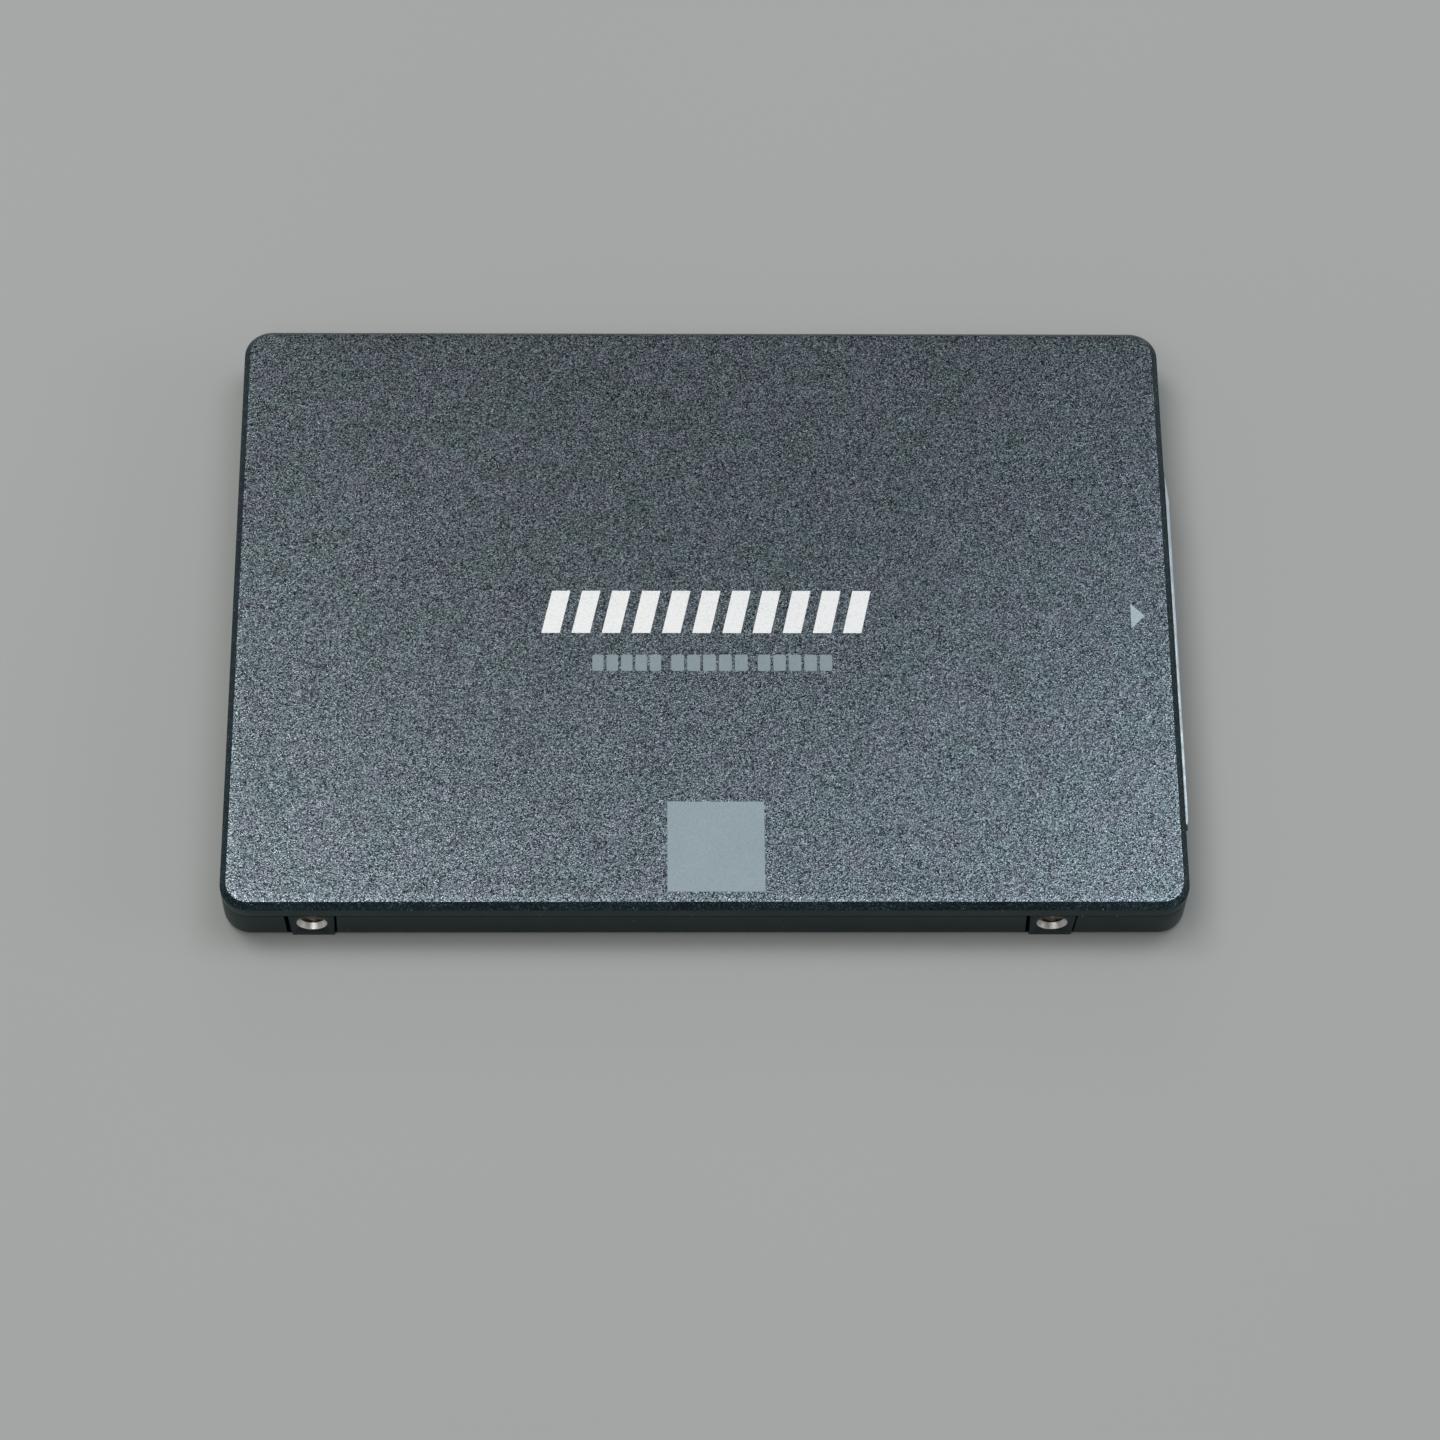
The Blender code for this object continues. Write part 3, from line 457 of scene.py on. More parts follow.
class Surface:
    """A Principled material, and what adds the nodes of its pattern."""

    def __init__(self, name, **sockets):
        """Plain values are set on the shader's own sockets."""
        self.material = bpy.data.materials.new(name)
        self.material.use_nodes = True
        self.tree = self.material.node_tree
        self.shader = self.tree.nodes["Principled BSDF"]
        for key, value in sockets.items():
            self.shader.inputs[key.replace("_", " ")].default_value = value
        # the surface's own place, in metres
        self.place = self.node("ShaderNodeTexCoord", {}, "Object")

    def node(self, kind, inputs, output=0, **settings):
        """Add a node and give one output: inputs are values or sockets by name or number."""
        made = self.tree.nodes.new(kind)
        for name, value in settings.items():
            setattr(made, name, value)
        for name, value in inputs.items():
            if isinstance(value, bpy.types.NodeSocket):
                self.tree.links.new(value, made.inputs[name])
            else:
                made.inputs[name].default_value = value
        return made.outputs[output]

    def noise(self, scale, detail=3.0, stretch=None):
        """Noise of so many features in a metre, drawn out along some axes if need be."""
        place = self.place
        if stretch:
            place = self.node("ShaderNodeMapping", {"Vector": place, "Scale": stretch})
        return self.node("ShaderNodeTexNoise", {"Vector": place, "Scale": scale,
                                                "Detail": detail, "Roughness": 0.55}, "Fac")

    def cells(self, scale):
        """Random cells: two random numbers for each, and the distance from its middle."""
        colour = self.node("ShaderNodeTexVoronoi", {"Vector": self.place, "Scale": scale}, "Color")
        split = self.node("ShaderNodeSeparateColor", {"Color": colour}).node.outputs
        return split[0], split[1], colour.node.outputs["Distance"]

    def maths(self, operation, first, second=0.0):
        return self.node("ShaderNodeMath", {0: first, 1: second}, operation=operation)

    def times(self, first, second):
        return self.maths("MULTIPLY", first, second)

    def remap(self, value, new_low, new_high, low=0.0, high=1.0):
        """Map a value's range from low and high to new_low and new_high."""
        return self.node("ShaderNodeMapRange", {"Value": value, "From Min": low, "From Max": high,
                                                "To Min": new_low, "To Max": new_high})

    def spread(self, value, new_low, new_high):
        """Map a noise, which mostly keeps between 0.3 and 0.7, to a range."""
        return self.remap(value, new_low, new_high, 0.3, 0.7)

    def mask(self, value, low, high):
        """0 where a value is below low, 1 above high, and between them in between."""
        return self.remap(value, 0.0, 1.0, low, high)

    def blend(self, share, first, second, mode="MIX"):
        return self.node("ShaderNodeMix", {0: share, 6: first, 7: second}, 2,
                         data_type="RGBA", blend_type=mode)

    def scaled(self, colour, factor):
        """A colour made lighter or darker by a factor."""
        grey = self.node("ShaderNodeCombineColor", {0: factor, 1: factor, 2: factor})
        return self.blend(1.0, colour, grey, "MULTIPLY")

    def bump(self, height, distance, strength=1.0):
        """A bump whose full height is a distance in mm."""
        return self.node("ShaderNodeBump", {"Height": height, "Distance": distance * MM,
                                            "Strength": strength})

    def finish(self, colour, roughness, normal):
        """Feed the pattern to the shader, and hand over the material."""
        for name, value in (("Base Color", colour), ("Roughness", roughness), ("Normal", normal)):
            if value is not None:
                self.tree.links.new(value, self.shader.inputs[name])
        return self.material


def rgb(red, green, blue):
    return (red, green, blue, 1.0)


def sparkle_paint():
    """Fine blasted metallic grey: bright and dark grains, the bright ones partly painted glints off
    the flakes, with soft clouds of tint.
    """
    s = Surface("cover_paint", Metallic=0.92)
    value, other, middle = s.cells(9000.0)
    smaller = s.cells(14000.0)[0]
    fine = s.noise(5200.0, 2.0)
    bright = s.maths("POWER", value, 1.6)
    # the grain in the base colour is partly the paint's own speckle and partly painted glints off
    # its flakes
    grain = s.times(s.remap(bright, 0.1, 2.95), s.remap(smaller, 0.5, 1.5))
    cloud = s.spread(s.noise(30.0, 4.0), 0.93, 1.07)
    tint = s.mask(s.noise(260.0), 0.35, 0.65)
    base = s.blend(tint, rgb(0.134, 0.171, 0.186), rgb(0.146, 0.167, 0.196))
    return s.finish(s.scaled(base, s.times(grain, cloud)), s.remap(other, 0.22, 0.34),
                    s.bump(s.maths("ADD", middle, fine), 0.012, strength=0.6))


def black_finish(name, base, rough, glint_gain, tint, rare, gloss=0.35):
    """Smooth black over metal: painted glints in its colour, slight orange peel, haze and a few
    specks.
    """
    s = Surface(name, Specular_IOR_Level=gloss, Specular_Tint=tint)
    haze = s.noise(160.0, 5.0)
    peel = s.noise(1500.0, 2.0)
    fine = s.noise(9000.0, 2.0)
    value, _, middle = s.cells(2500.0)
    speck = s.times(s.maths("LESS_THAN", middle, 0.14), s.maths("GREATER_THAN", value, rare))
    grain = s.cells(11000.0)[1]
    # painted glints: the rarest grains are made many times lighter in the base colour
    painted_glint = s.remap(s.maths("POWER", grain, 8.0), 1.0, 1.0 + glint_gain)
    shade = s.scaled(base, s.times(s.spread(haze, 0.75, 1.3), painted_glint))
    return s.finish(s.blend(speck, shade, rgb(0.42, 0.44, 0.42)),
                    s.spread(haze, rough - 0.05, rough + 0.07),
                    s.bump(s.maths("ADD", peel, s.times(fine, 0.25)), 0.006))


def bare_metal(name, colour, rough):
    """Cut or drawn metal with fine turning marks and slight staining."""
    s = Surface(name, Metallic=1.0)
    marks = s.noise(1600.0, stretch=(1.0, 1.0, 9.0))
    return s.finish(s.scaled(colour, s.spread(s.noise(420.0, 4.0), 0.82, 1.08)),
                    s.spread(marks, rough - 0.08, rough + 0.12), s.bump(marks, 0.004))


def ink(name, colour, metallic=0.4):
    """Screen print: thin, even and slightly grainy, with the paint's grain under it."""
    s = Surface(name, Metallic=metallic)
    fine = s.noise(5200.0, 2.0)
    factor = s.times(s.spread(fine, 0.86, 1.14), s.spread(s.noise(240.0), 0.98, 1.02))
    return s.finish(s.scaled(colour, factor), s.spread(fine, 0.45, 0.62), s.bump(fine, 0.006))


def moulded_plastic(name, colour, rough=0.45):
    """Moulded plastic: soft mottling and a fine spark-eroded surface."""
    s = Surface(name, Specular_IOR_Level=0.4)
    fine = s.noise(7000.0, 2.0)
    return s.finish(s.scaled(colour, s.spread(s.noise(300.0, 4.0), 0.85, 1.18)),
                    s.spread(fine, rough - 0.08, rough + 0.1), s.bump(fine, 0.01))


def speckled(name, colour, other, rough, scale, **sockets):
    """Filled resin, ferrite, ceramic or silicone: a matrix with fine grains in it."""
    s = Surface(name, **sockets)
    value, second, middle = s.cells(scale)
    mixed = s.blend(s.mask(value, 0.5, 1.0), colour, other)
    return s.finish(s.scaled(mixed, s.spread(s.noise(scale / 12, 4.0), 0.88, 1.12)),
                    s.remap(second, rough - 0.08, rough + 0.08), s.bump(middle, 0.008))


def solder_mask():
    """Green mask over copper: raised traces and brighter pours."""
    s = Surface("solder_mask", Specular_IOR_Level=0.5)
    distance = s.node("ShaderNodeTexVoronoi",
                      {"Vector": s.place, "Scale": 620.0, "Randomness": 0.55}, "Distance",
                      distance="CHEBYCHEV", feature="F2")
    trace = s.mask(s.maths("FRACT", s.times(distance, 3.0)), 0.42, 0.5)
    copper = s.maths("MAXIMUM", trace, s.mask(s.noise(110.0, 1.0), 0.48, 0.52))
    colour = s.blend(copper, rgb(0.004, 0.050, 0.036), rgb(0.010, 0.092, 0.058))
    fine = s.noise(3000.0)
    return s.finish(s.scaled(colour, s.spread(fine, 0.9, 1.1)), s.spread(fine, 0.28, 0.44),
                    s.bump(s.maths("ADD", copper, s.times(fine, 0.2)), 0.02))


def label_stock():
    """Matt film with a faint fibre, slight waves and rubbed spots."""
    s = Surface("label_stock", Specular_IOR_Level=0.35)
    fibre = s.noise(900.0, 4.0, stretch=(1.0, 5.0, 1.0))
    wave = s.noise(60.0, 1.0)
    rub = s.mask(s.noise(190.0, 5.0), 0.58, 0.72)
    shade = s.scaled(rgb(0.032, 0.035, 0.038), s.spread(fibre, 0.85, 1.2))
    return s.finish(s.blend(rub, shade, rgb(0.055, 0.058, 0.060)), s.spread(fibre, 0.42, 0.58),
                    s.bump(s.maths("ADD", fibre, s.times(wave, 6.0)), 0.01))


def floor_finish():
    """A plain pale floor with the slightest unevenness, all of one roughness."""
    s = Surface("pale_floor", Roughness=0.7)
    soft = s.spread(s.noise(6.0, 2.0), 0.985, 1.015)
    return s.finish(s.scaled(rgb(0.53, 0.545, 0.53), soft), None, None)


# ---------- case

def opening_tool():
    """The space that is cut out of both shells round the plug."""
    return box("opening", (OPENING_BACK, PLUG_LOW.y - OPENING_MARGIN, -OVERSHOOT),
               (PLUG_END + OVERSHOOT, PLUG_HIGH.y + OPENING_MARGIN, COVER_UNDERSIDE))


def block_place(name, outer_inset):
    """A block's box, and the Y range from its notch's inner side out to an inset."""
    low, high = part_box(name)
    side = 1.0 if low.y > 0 else -1.0
    ends = (side * (HALF_WIDTH - NOTCH_DEPTH), side * (HALF_WIDTH - outer_inset))
    return low, high, min(ends), max(ends)


def notch_tools(name):
    """Tapered blocks that leave slots round a mounting block, nearly closed at the base."""
    low, high, low_y, high_y = block_place(name, -OVERSHOOT)
    before, after = BLOCKS[name]
    top = SPLIT + OVERSHOOT
    tools = []
    for left, right, bottom, end in ((before, after, SLOT_FLOOR, top),
                                     (FIT, FIT, -OVERSHOOT, SLOT_FLOOR + FIT),
                                     (before, after, -OVERSHOOT, SLOT_GROOVE)):
        bm = bmesh.new()
        add_box(bm, (low.x - left, low_y, bottom), (high.x + right, high_y, end))
        lean_in(bm, (low.x + high.x) / 2, 0.0, top)
        tools.append(new_object("notch", bm))
    return tools


def trimmed_strip(metal):
    """The bare edge of the sheet, which runs out to nothing at its far end."""
    outline = [(STRIP_ROOT, STRIP_LOW_Y)]
    outline += [(SHELL_END + x * MM, STRIP_LOW_Y + y * MM) for x, y in STRIP_NEAR]
    outline += [(SHELL_END + x * MM, STRIP_HIGH_Y - y * MM) for x, y in STRIP_FAR]
    outline += [(STRIP_ROOT, STRIP_HIGH_Y)]
    top = FACE - EDGE_DROP
    bottom = top - STRIP_THICKNESS
    rings = [[(x - inset if x > SHELL_END else x, y, z) for x, y in outline]
             for inset, z in ((STRIP_EDGE, bottom), (0.0, bottom + STRIP_EDGE),
                              (0.0, top - 1.5 * STRIP_EDGE), (STRIP_EDGE, top))]
    return loft("strip", rings, metal, metal, metal, material=METAL)


def make_cover(paint, black, metal, side_black):
    """The upper shell: a plate with a chamfered edge, a skirt, an inner rib and bosses."""
    corners = [(RIB_INNER, COVER_UNDERSIDE, 0.0), (RIB_INNER, RIB_BOTTOM, LIP),
               (RIB_OUTER, RIB_BOTTOM, LIP), (RIB_OUTER, SKIRT_BOTTOM, 0.0),
               (0.0, SKIRT_BOTTOM, LIP), (0.0, FACE - EDGE_DROP, EDGE_ROUND),
               (EDGE_INSET, FACE, FACE_ROUND), (EDGE_INSET + WALL, FACE, 0.0)]
    cover = loft("upper_cover", case_profile(corners), paint, black, metal, side_black,
                 material=EDGE)
    boss = ((SCREW_BOSS_RADIUS, SCREW_BOSS_BOTTOM), (SCREW_BOSS_RADIUS, COVER_UNDERSIDE + BITE))
    boolean(cover, [turned("boss", place, boss, material=EDGE) for place in SCREW_PLACES],
            "UNION")
    pilot = ((SHANK_CLEARANCE, 0.0), (SHANK_CLEARANCE, PILOT_TOP))
    tools = [turned("pilot", place, pilot, material=EDGE) for place in SCREW_PLACES]
    tools.append(opening_tool())
    for name in BLOCKS:
        low, high, low_y, high_y = block_place(name, RIB_GAP_INSET)
        tools.append(box("rib_gap", (low.x - RIB_GAP, low_y, RIB_BOTTOM - OVERSHOOT),
                         (high.x + RIB_GAP, high_y, RIB_GAP_TOP), material=EDGE))
    boolean(cover, tools)
    boolean(cover, [trimmed_strip(metal)], "UNION")
    round_edges(cover, CUT_ROUND, clamp=False)
    # painted reflection: faces below the chamfer take the tray's greener black and the chamfer
    # keeps the bluer edge black, though both are one finish
    for face in cover.data.polygons:
        if face.normal.z > FACE_UP and face.center.z > FACE - FACE_MARGIN:
            face.material_index = PAINT
        elif face.material_index == EDGE and face.center.z < FACE - EDGE_DROP:
            face.material_index = SIDE
    finish_piece(cover, "cover_paint", "upper_shell")


def make_strip_stub(black):
    """The stub of paint-covered metal that is left beside the trimmed edge."""
    corner = Vector((SHELL_END, STRIP_LOW_Y, COVER_UNDERSIDE))
    stub = box("cover_edge_stub", corner + Vector(STUB_LOW) * MM, corner + Vector(STUB_HIGH) * MM,
               black, rounding=STUB_ROUND)
    finish_piece(stub, "cover_paint")


def make_base(black):
    """The lower shell: a tray with rounded edges, notches, a label recess and screw wells."""
    corners = [(WALL, WALL, 0.0), (WALL, SPLIT, LIP), (0.0, SPLIT, LIP),
               (0.0, 0.0, BASE_ROUND), (BASE_ROUND + WALL, 0.0, 0.0)]
    base = loft("lower_tray", case_profile(corners), black)
    pad = ((SCREW_PAD_RADIUS, WALL - BITE), (SCREW_PAD_RADIUS, SCREW_PAD_TOP))
    post = [(radius * MM, z * MM) for radius, z in POST_PROFILE]
    pads = [turned("pad", place, pad) for place in SCREW_PLACES]
    pads += [turned("post", place, post, steps=POST_STEPS) for place in POSTS]
    boolean(base, pads, "UNION")

    tools = [opening_tool()]
    for name in BLOCKS:
        tools += notch_tools(name)
    rows = [(-RECESS_MARGIN, z, RECESS_CORNER) for z in (-OVERSHOOT, RECESS_DEPTH)]
    tools.append(loft("recess", inset_rings(LABEL_LOW, LABEL_HIGH, rows, LABEL_STEPS)))
    well = ((COUNTERBORE_RADIUS, -OVERSHOOT), (COUNTERBORE_RADIUS, COUNTERBORE_DEPTH),
            (SHANK_CLEARANCE, COUNTERBORE_DEPTH), (SHANK_CLEARANCE, SCREW_PAD_TOP + OVERSHOOT))
    tools += [turned("well", place, well) for place in SCREW_PLACES]
    boolean(base, tools)
    round_edges(base, CUT_ROUND)
    finish_piece(base, "case_black", "lower_shell")


# ---------- mounting blocks

def thread_rings(depth):
    """A tapped hole as a solid along +Z, from outside the surface at 0 down to its depth."""
    start = HOLE_RIM_DEPTH + HOLE_RIM_STEP
    rim = ((HOLE_RIM, -OVERSHOOT), (HOLE_RIM, 0.0), (HOLE_RIM - HOLE_RIM_STEP, HOLE_RIM_EASE),
           (THREAD_MINOR + HOLE_RIM_EASE, HOLE_RIM_DEPTH), (THREAD_MINOR, start))
    rings = [circle((0, 0), radius, z, THREAD_STEPS) for radius, z in rim]
    rows = int((depth - 2 * THREAD_PITCH - start) / THREAD_PITCH * THREAD_ROWS)
    for row in range(1, rows + 1):
        fade = min(1.0, row / 4, (rows - row) / THREAD_ROWS)
        ring = []
        for step in range(THREAD_STEPS):
            turn = step / THREAD_STEPS
            groove = 1.0 - abs(2.0 * ((row / THREAD_ROWS - turn) % 1.0) - 1.0)
            radius = THREAD_MINOR + (THREAD_MAJOR - THREAD_MINOR) * groove * fade
            ring.append((radius * cos(2 * pi * turn), radius * sin(2 * pi * turn),
                         start + row * THREAD_PITCH / THREAD_ROWS))
        rings.append(ring)
    rings.append(circle((0, 0), THREAD_MINOR, depth - THREAD_PITCH, THREAD_STEPS))
    rings.append(circle((0, 0), DRILL_POINT, depth, THREAD_STEPS))
    return rings


def thread_tool(depth, place, direction, materials):
    """A tapped hole that goes in from place along direction."""
    tool = loft("thread", thread_rings(depth), *materials, material=BLOCK_THREAD)
    for face in tool.data.polygons:
        if face.center.z < HOLE_RIM_DEPTH:
            face.material_index = BLOCK_RIM
    turn = Vector((0, 0, 1)).rotation_difference(Vector(direction)).to_matrix().to_4x4()
    tool.data.transform(Matrix.Translation(place) @ turn)
    return tool


def make_mount_blocks(*materials):
    """Four blocks, each with a threaded side hole that meets a threaded bottom hole."""
    for name in BLOCKS:
        low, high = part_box(name)
        side = 1.0 if low.y > 0 else -1.0
        middle = (low.x + high.x) / 2
        bm = bmesh.new()
        add_box(bm, low, high, BLOCK_ROUND, BLOCK_SIDE)
        lean_in(bm, middle, low.z, high.z - low.z)
        block = new_object(name.replace("mount_block", "tapped_block"), bm, *materials)
        boolean(block, [
            thread_tool(SIDE_HOLE_DEPTH, (middle, side * HALF_WIDTH, SIDE_HOLE_HEIGHT),
                        (0, -side, 0), materials),
            thread_tool(BOTTOM_HOLE_DEPTH, (middle, side * BOTTOM_HOLE_Y, 0.0),
                        (0, 0, 1), materials)])
        finish_piece(block, "block_black", name)


# ---------- fasteners and label

def screw_thread(place, bottom, top):
    """Rings of a screw's shank with its rolled thread."""
    rings = []
    rows = int((top - bottom - SCREW_PITCH) / SCREW_PITCH * SCREW_ROWS)
    for row in range(1, rows):
        ring = []
        for step, (x, y, z) in enumerate(circle((0.0, 0.0), 1.0, bottom, SCREW_STEPS)):
            turn = (step / SCREW_STEPS - row / SCREW_ROWS) % 1.0
            size = (SCREW_CORE + SCREW_RIDGE * (1.0 - abs(2.0 * turn - 1.0))) * MM
            ring.append((place[0] + x * size, place[1] + y * size,
                         z + row * SCREW_PITCH / SCREW_ROWS))
        rings.append(ring)
    return rings


def make_screws(steel):
    """Low-headed screws with a six-lobed recess and a rolled thread."""
    for name, place in zip(SCREWS, SCREW_PLACES):
        low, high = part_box(name)
        radius = (high.x - low.x) / 2
        under = low.z + SCREW_HEAD_HEIGHT
        head = [(radius - inset * MM, low.z + z * MM) for inset, z in SCREW_HEAD]
        point = ((SCREW_NECK, high.z - SCREW_TIP_LENGTH), (SCREW_TIP, high.z))
        head.append((SCREW_CORE * MM, under))
        rings = [circle(place, size, z, SCREW_STEPS) for size, z in head]
        rings += screw_thread(place, under, high.z)
        rings += [circle(place, size, z, SCREW_STEPS) for size, z in point]
        screw = loft(name.replace("case_screw", "recessed_screw"), rings, steel)
        lobes = []
        for step in range(SCREW_RECESS_STEPS):
            turn = 2 * pi * step / SCREW_RECESS_STEPS
            size = (SCREW_RECESS + SCREW_LOBE * cos(6 * turn)) * MM
            lobes.append((place[0] + size * cos(turn), place[1] + size * sin(turn)))
        bm = bmesh.new()
        add_prism(bm, lobes, low.z - OVERSHOOT, low.z + SCREW_RECESS_DEPTH)
        boolean(screw, [new_object("recess", bm, steel)])
        round_edges(screw, SCREW_ROUND, segments=1)
        finish_piece(screw, "screw_steel", name)


def make_label(film, pale):
    """A plain rating label: a film with a rule and blank fields, and nothing to read."""
    low, high = LABEL_LOW, LABEL_HIGH
    rows = [(inset, low.z + z * MM, LABEL_CORNER - inset) for inset, z in LABEL_EDGE]
    rows.append((0.0, high.z, LABEL_CORNER))
    film_piece = loft("rear_film", inset_rings(low, high, rows, LABEL_STEPS), film)
    finish_piece(film_piece, "label_film", "rear_label")

    middle = (low + high) / 2
    bm = bmesh.new()
    for x, y, width, height in LABEL_FIELDS:
        field = rounded_outline((middle.x + x * MM, middle.y + y * MM),
                                (middle.x + (x + width) * MM, middle.y + (y + height) * MM),
                                FIELD_CORNER, SMALL_STEPS)
        add_prism(bm, field, low.z, low.z + FIELD_HEIGHT)
    finish_piece(new_object("rear_label_fields", bm, pale), None, angle=FLAT_ANGLE)


# ---------- plug and contacts

def plug_cutters(plastic, tongue_starts):
    """Grooves for the contacts, and pockets for the board locks and in the housing's top."""
    grooves = bmesh.new()
    for name in CONTACTS:
        low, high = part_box(name)
        middle = (low.y + high.y) / 2
        add_box(grooves,
                (PLUG_LOW.x - OVERSHOOT, middle - GROOVE_WIDTH / 2, PLUG_LOW.z - OVERSHOOT),
                (PLUG_HIGH.x + OVERSHOOT, middle + GROOVE_WIDTH / 2, high.z + GROOVE_FLOOR))
    pockets = bmesh.new()
    for name in LOCKS:
        low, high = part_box(name)
        margin = Vector([LOCK_MARGIN] * 3)
        low.z = high.z - POCKET_DEPTH
        add_box(pockets, low - margin, high + margin)
    for start in tongue_starts:
        add_box(pockets, (PLUG_LOW.x + POCKET_INSET, start, PLUG_HIGH.z - POCKET_DEPTH),
                (PLUG_LOW.x + PLUG_BODY_DEPTH - POCKET_INSET, start + POCKET_LENGTH,
                 PLUG_HIGH.z + OVERSHOOT))
    return [new_object("grooves", grooves, plastic), new_object("pockets", pockets, plastic)]


def make_plug(plastic):
    """The SATA housing: a bar with two keyed tongues and an ear at each end."""
    root = PLUG_LOW.x + PLUG_BODY_DEPTH - PLUG_OVERLAP
    power_low = PLUG_MIDDLE - TONGUES_WIDTH / 2
    power_high = power_low + POWER_WIDTH
    signal_high = PLUG_MIDDLE + TONGUES_WIDTH / 2
    signal_low = signal_high - SIGNAL_WIDTH
    key_low = PLUG_LOW.z
    plug = box("sata_housing", (PLUG_LOW.x, PLUG_LOW.y, PLUG_BODY_BOTTOM),
               (PLUG_LOW.x + PLUG_BODY_DEPTH, PLUG_HIGH.y, PLUG_HIGH.z), plastic)
    spans = ((power_low, power_high, TONGUE_LOW, TONGUE_HIGH),
             (signal_low, signal_high, TONGUE_LOW, TONGUE_HIGH),
             (power_high - KEY_WIDTH, power_high, key_low, TONGUE_HIGH),
             (signal_low, signal_low + KEY_WIDTH, key_low, TONGUE_HIGH),
             (PLUG_LOW.y, PLUG_LOW.y + EAR_WIDTH, key_low, EAR_TOP),
             (PLUG_HIGH.y - EAR_WIDTH, PLUG_HIGH.y, key_low, EAR_TOP))
    boolean(plug, [box("tongue", (root, low_y, low_z), (PLUG_HIGH.x, high_y, high_z), plastic)
                   for low_y, high_y, low_z, high_z in spans], "UNION")
    starts = [power_low + place for place in POWER_POCKETS] + [signal_low + SIGNAL_POCKET]
    boolean(plug, plug_cutters(plastic, starts))
    round_edges(plug, PLUG_ROUND)
    finish_piece(plug, "plug_black", "sata_plug_housing")


def make_contacts(gold):
    """Stamped blades with rounded tips, bent down behind the plug to a foot on the board."""
    for name in CONTACTS:
        low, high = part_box(name)
        under = high.z - CONTACT_THICKNESS
        step = low.z + CONTACT_THICKNESS
        bend = low.x + CONTACT_BEND
        back = bend - CONTACT_THICKNESS
        corners = (  # a place and an offset from it in mm
            (high.x, under, 0.0, 0.14), (high.x, high.z, -0.06, -0.02), (high.x, high.z, -0.2, 0.0),
            (back, high.z, 0.12, 0.0), (back, high.z, 0.0, -0.12), (back, step, 0.0, 0.06),
            (back, step, -0.06, 0.0), (low.x, step, 0.0, 0.0), (low.x, low.z, 0.0, 0.0),
            (bend, low.z, -0.1, 0.0), (bend, low.z, 0.0, 0.1), (bend, under, 0.0, 0.0),
            (high.x, under, -0.45, 0.0), (high.x, under, -0.12, 0.05))
        outline = [(x + along * MM, z + up * MM) for x, z, along, up in corners]
        rings = [[(x, y, z) for x, z in inset_outline(outline, inset)]
                 for inset, y in ((CONTACT_EDGE, low.y), (0.0, low.y + CONTACT_EDGE),
                                  (0.0, high.y - CONTACT_EDGE), (CONTACT_EDGE, high.y))]
        blade = loft(name.replace("contact", "blade"), rings, gold)
        finish_piece(blade, "contact_gold", name)


# ---------- inner parts

def package_rings(low, high, base):
    """A flat base up to a height, with a moulded cap that narrows above it."""
    rows = ((0.03, low.z, 0.1), (0.0, low.z + 0.03 * MM, 0.1), (0.0, base, 0.1),
            (0.2, base, 0.3), (0.2, base + 0.02 * MM, 0.3), (0.26, high.z - 0.08 * MM, 0.3),
            (0.34, high.z, 0.3))
    return inset_rings(low, high, rows, SMALL_STEPS)


def make_packages(moulding, laminate, tin):
    """Chips with a laminate base, a moulded cap and a corner dimple, and the crystal's can."""
    for name in PACKAGES:
        low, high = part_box(name)
        base = low.z + (high.z - low.z) * LAMINATE_SHARE
        chip = loft(name + "_package", package_rings(low, high, base), moulding, laminate)
        for face in chip.data.polygons:
            face.material_index = 1 if face.center.z < base + SAME else 0
        dimple = ((DIMPLE_RADIUS, high.z - DIMPLE_DEPTH), (DIMPLE_RADIUS, high.z + OVERSHOOT))
        boolean(chip, [turned("dimple", (low.x + DIMPLE_PLACE, high.y - DIMPLE_PLACE), dimple,
                              moulding, laminate, steps=20)])
        finish_piece(chip, "chip_moulding", name)
    low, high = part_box("crystal_oscillator")
    base = low.z + (high.z - low.z) * LAMINATE_SHARE
    can = loft("crystal_oscillator_can", package_rings(low, high, base), tin, tin)
    finish_piece(can, "tinned_metal", "crystal_oscillator")


def make_power_parts(ceramic, ferrite, tin):
    """Capacitors with tinned ends, and moulded inductors with a domed top."""
    for number in range(1, 7):
        name = f"tank_capacitor_{number}"
        low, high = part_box(name)
        rows = [(low.x + x * MM, inset * MM) for x, inset in CAP_EDGE]
        rows += [(low.x + CAP_END, 0.0), (low.x + CAP_END, CAP_STEP),
                 (high.x - CAP_END, CAP_STEP), (high.x - CAP_END, 0.0)]
        rows += [(high.x - x * MM, inset * MM) for x, inset in reversed(CAP_EDGE)]
        rings = []
        for x, inset in rows:
            ring = rounded_outline((low.y + inset, low.z + inset),
                                   (high.y - inset, high.z - inset), CAP_CORNER, SMALL_STEPS)
            rings.append([(x, y, z) for y, z in ring])
        capacitor = loft(name + "_chip", rings, tin, ceramic)
        reach = (high.x - low.x) / 2 - CAP_END - SAME
        for face in capacitor.data.polygons:
            inside = abs(face.center.x - (low.x + high.x) / 2) < reach
            face.material_index = 1 if inside else 0
        finish_piece(capacitor, "capacitor_ceramic", name)

    for name in ("power_inductor_1", "power_inductor_2"):
        low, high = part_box(name)
        edges = ((0.15, low.z), (0.03, low.z + 0.06 * MM), (0.0, low.z + 0.15 * MM),
                 (0.0, high.z - 0.3 * MM), (0.1, high.z - 0.1 * MM),
                 (0.3, high.z - 0.02 * MM), (0.6, high.z))
        rows = [(inset, z, INDUCTOR_CORNER - inset / 2) for inset, z in edges]
        inductor = loft(name + "_core", inset_rings(low, high, rows, LABEL_STEPS), ferrite, tin)
        finish_piece(inductor, "inductor_ferrite", name)


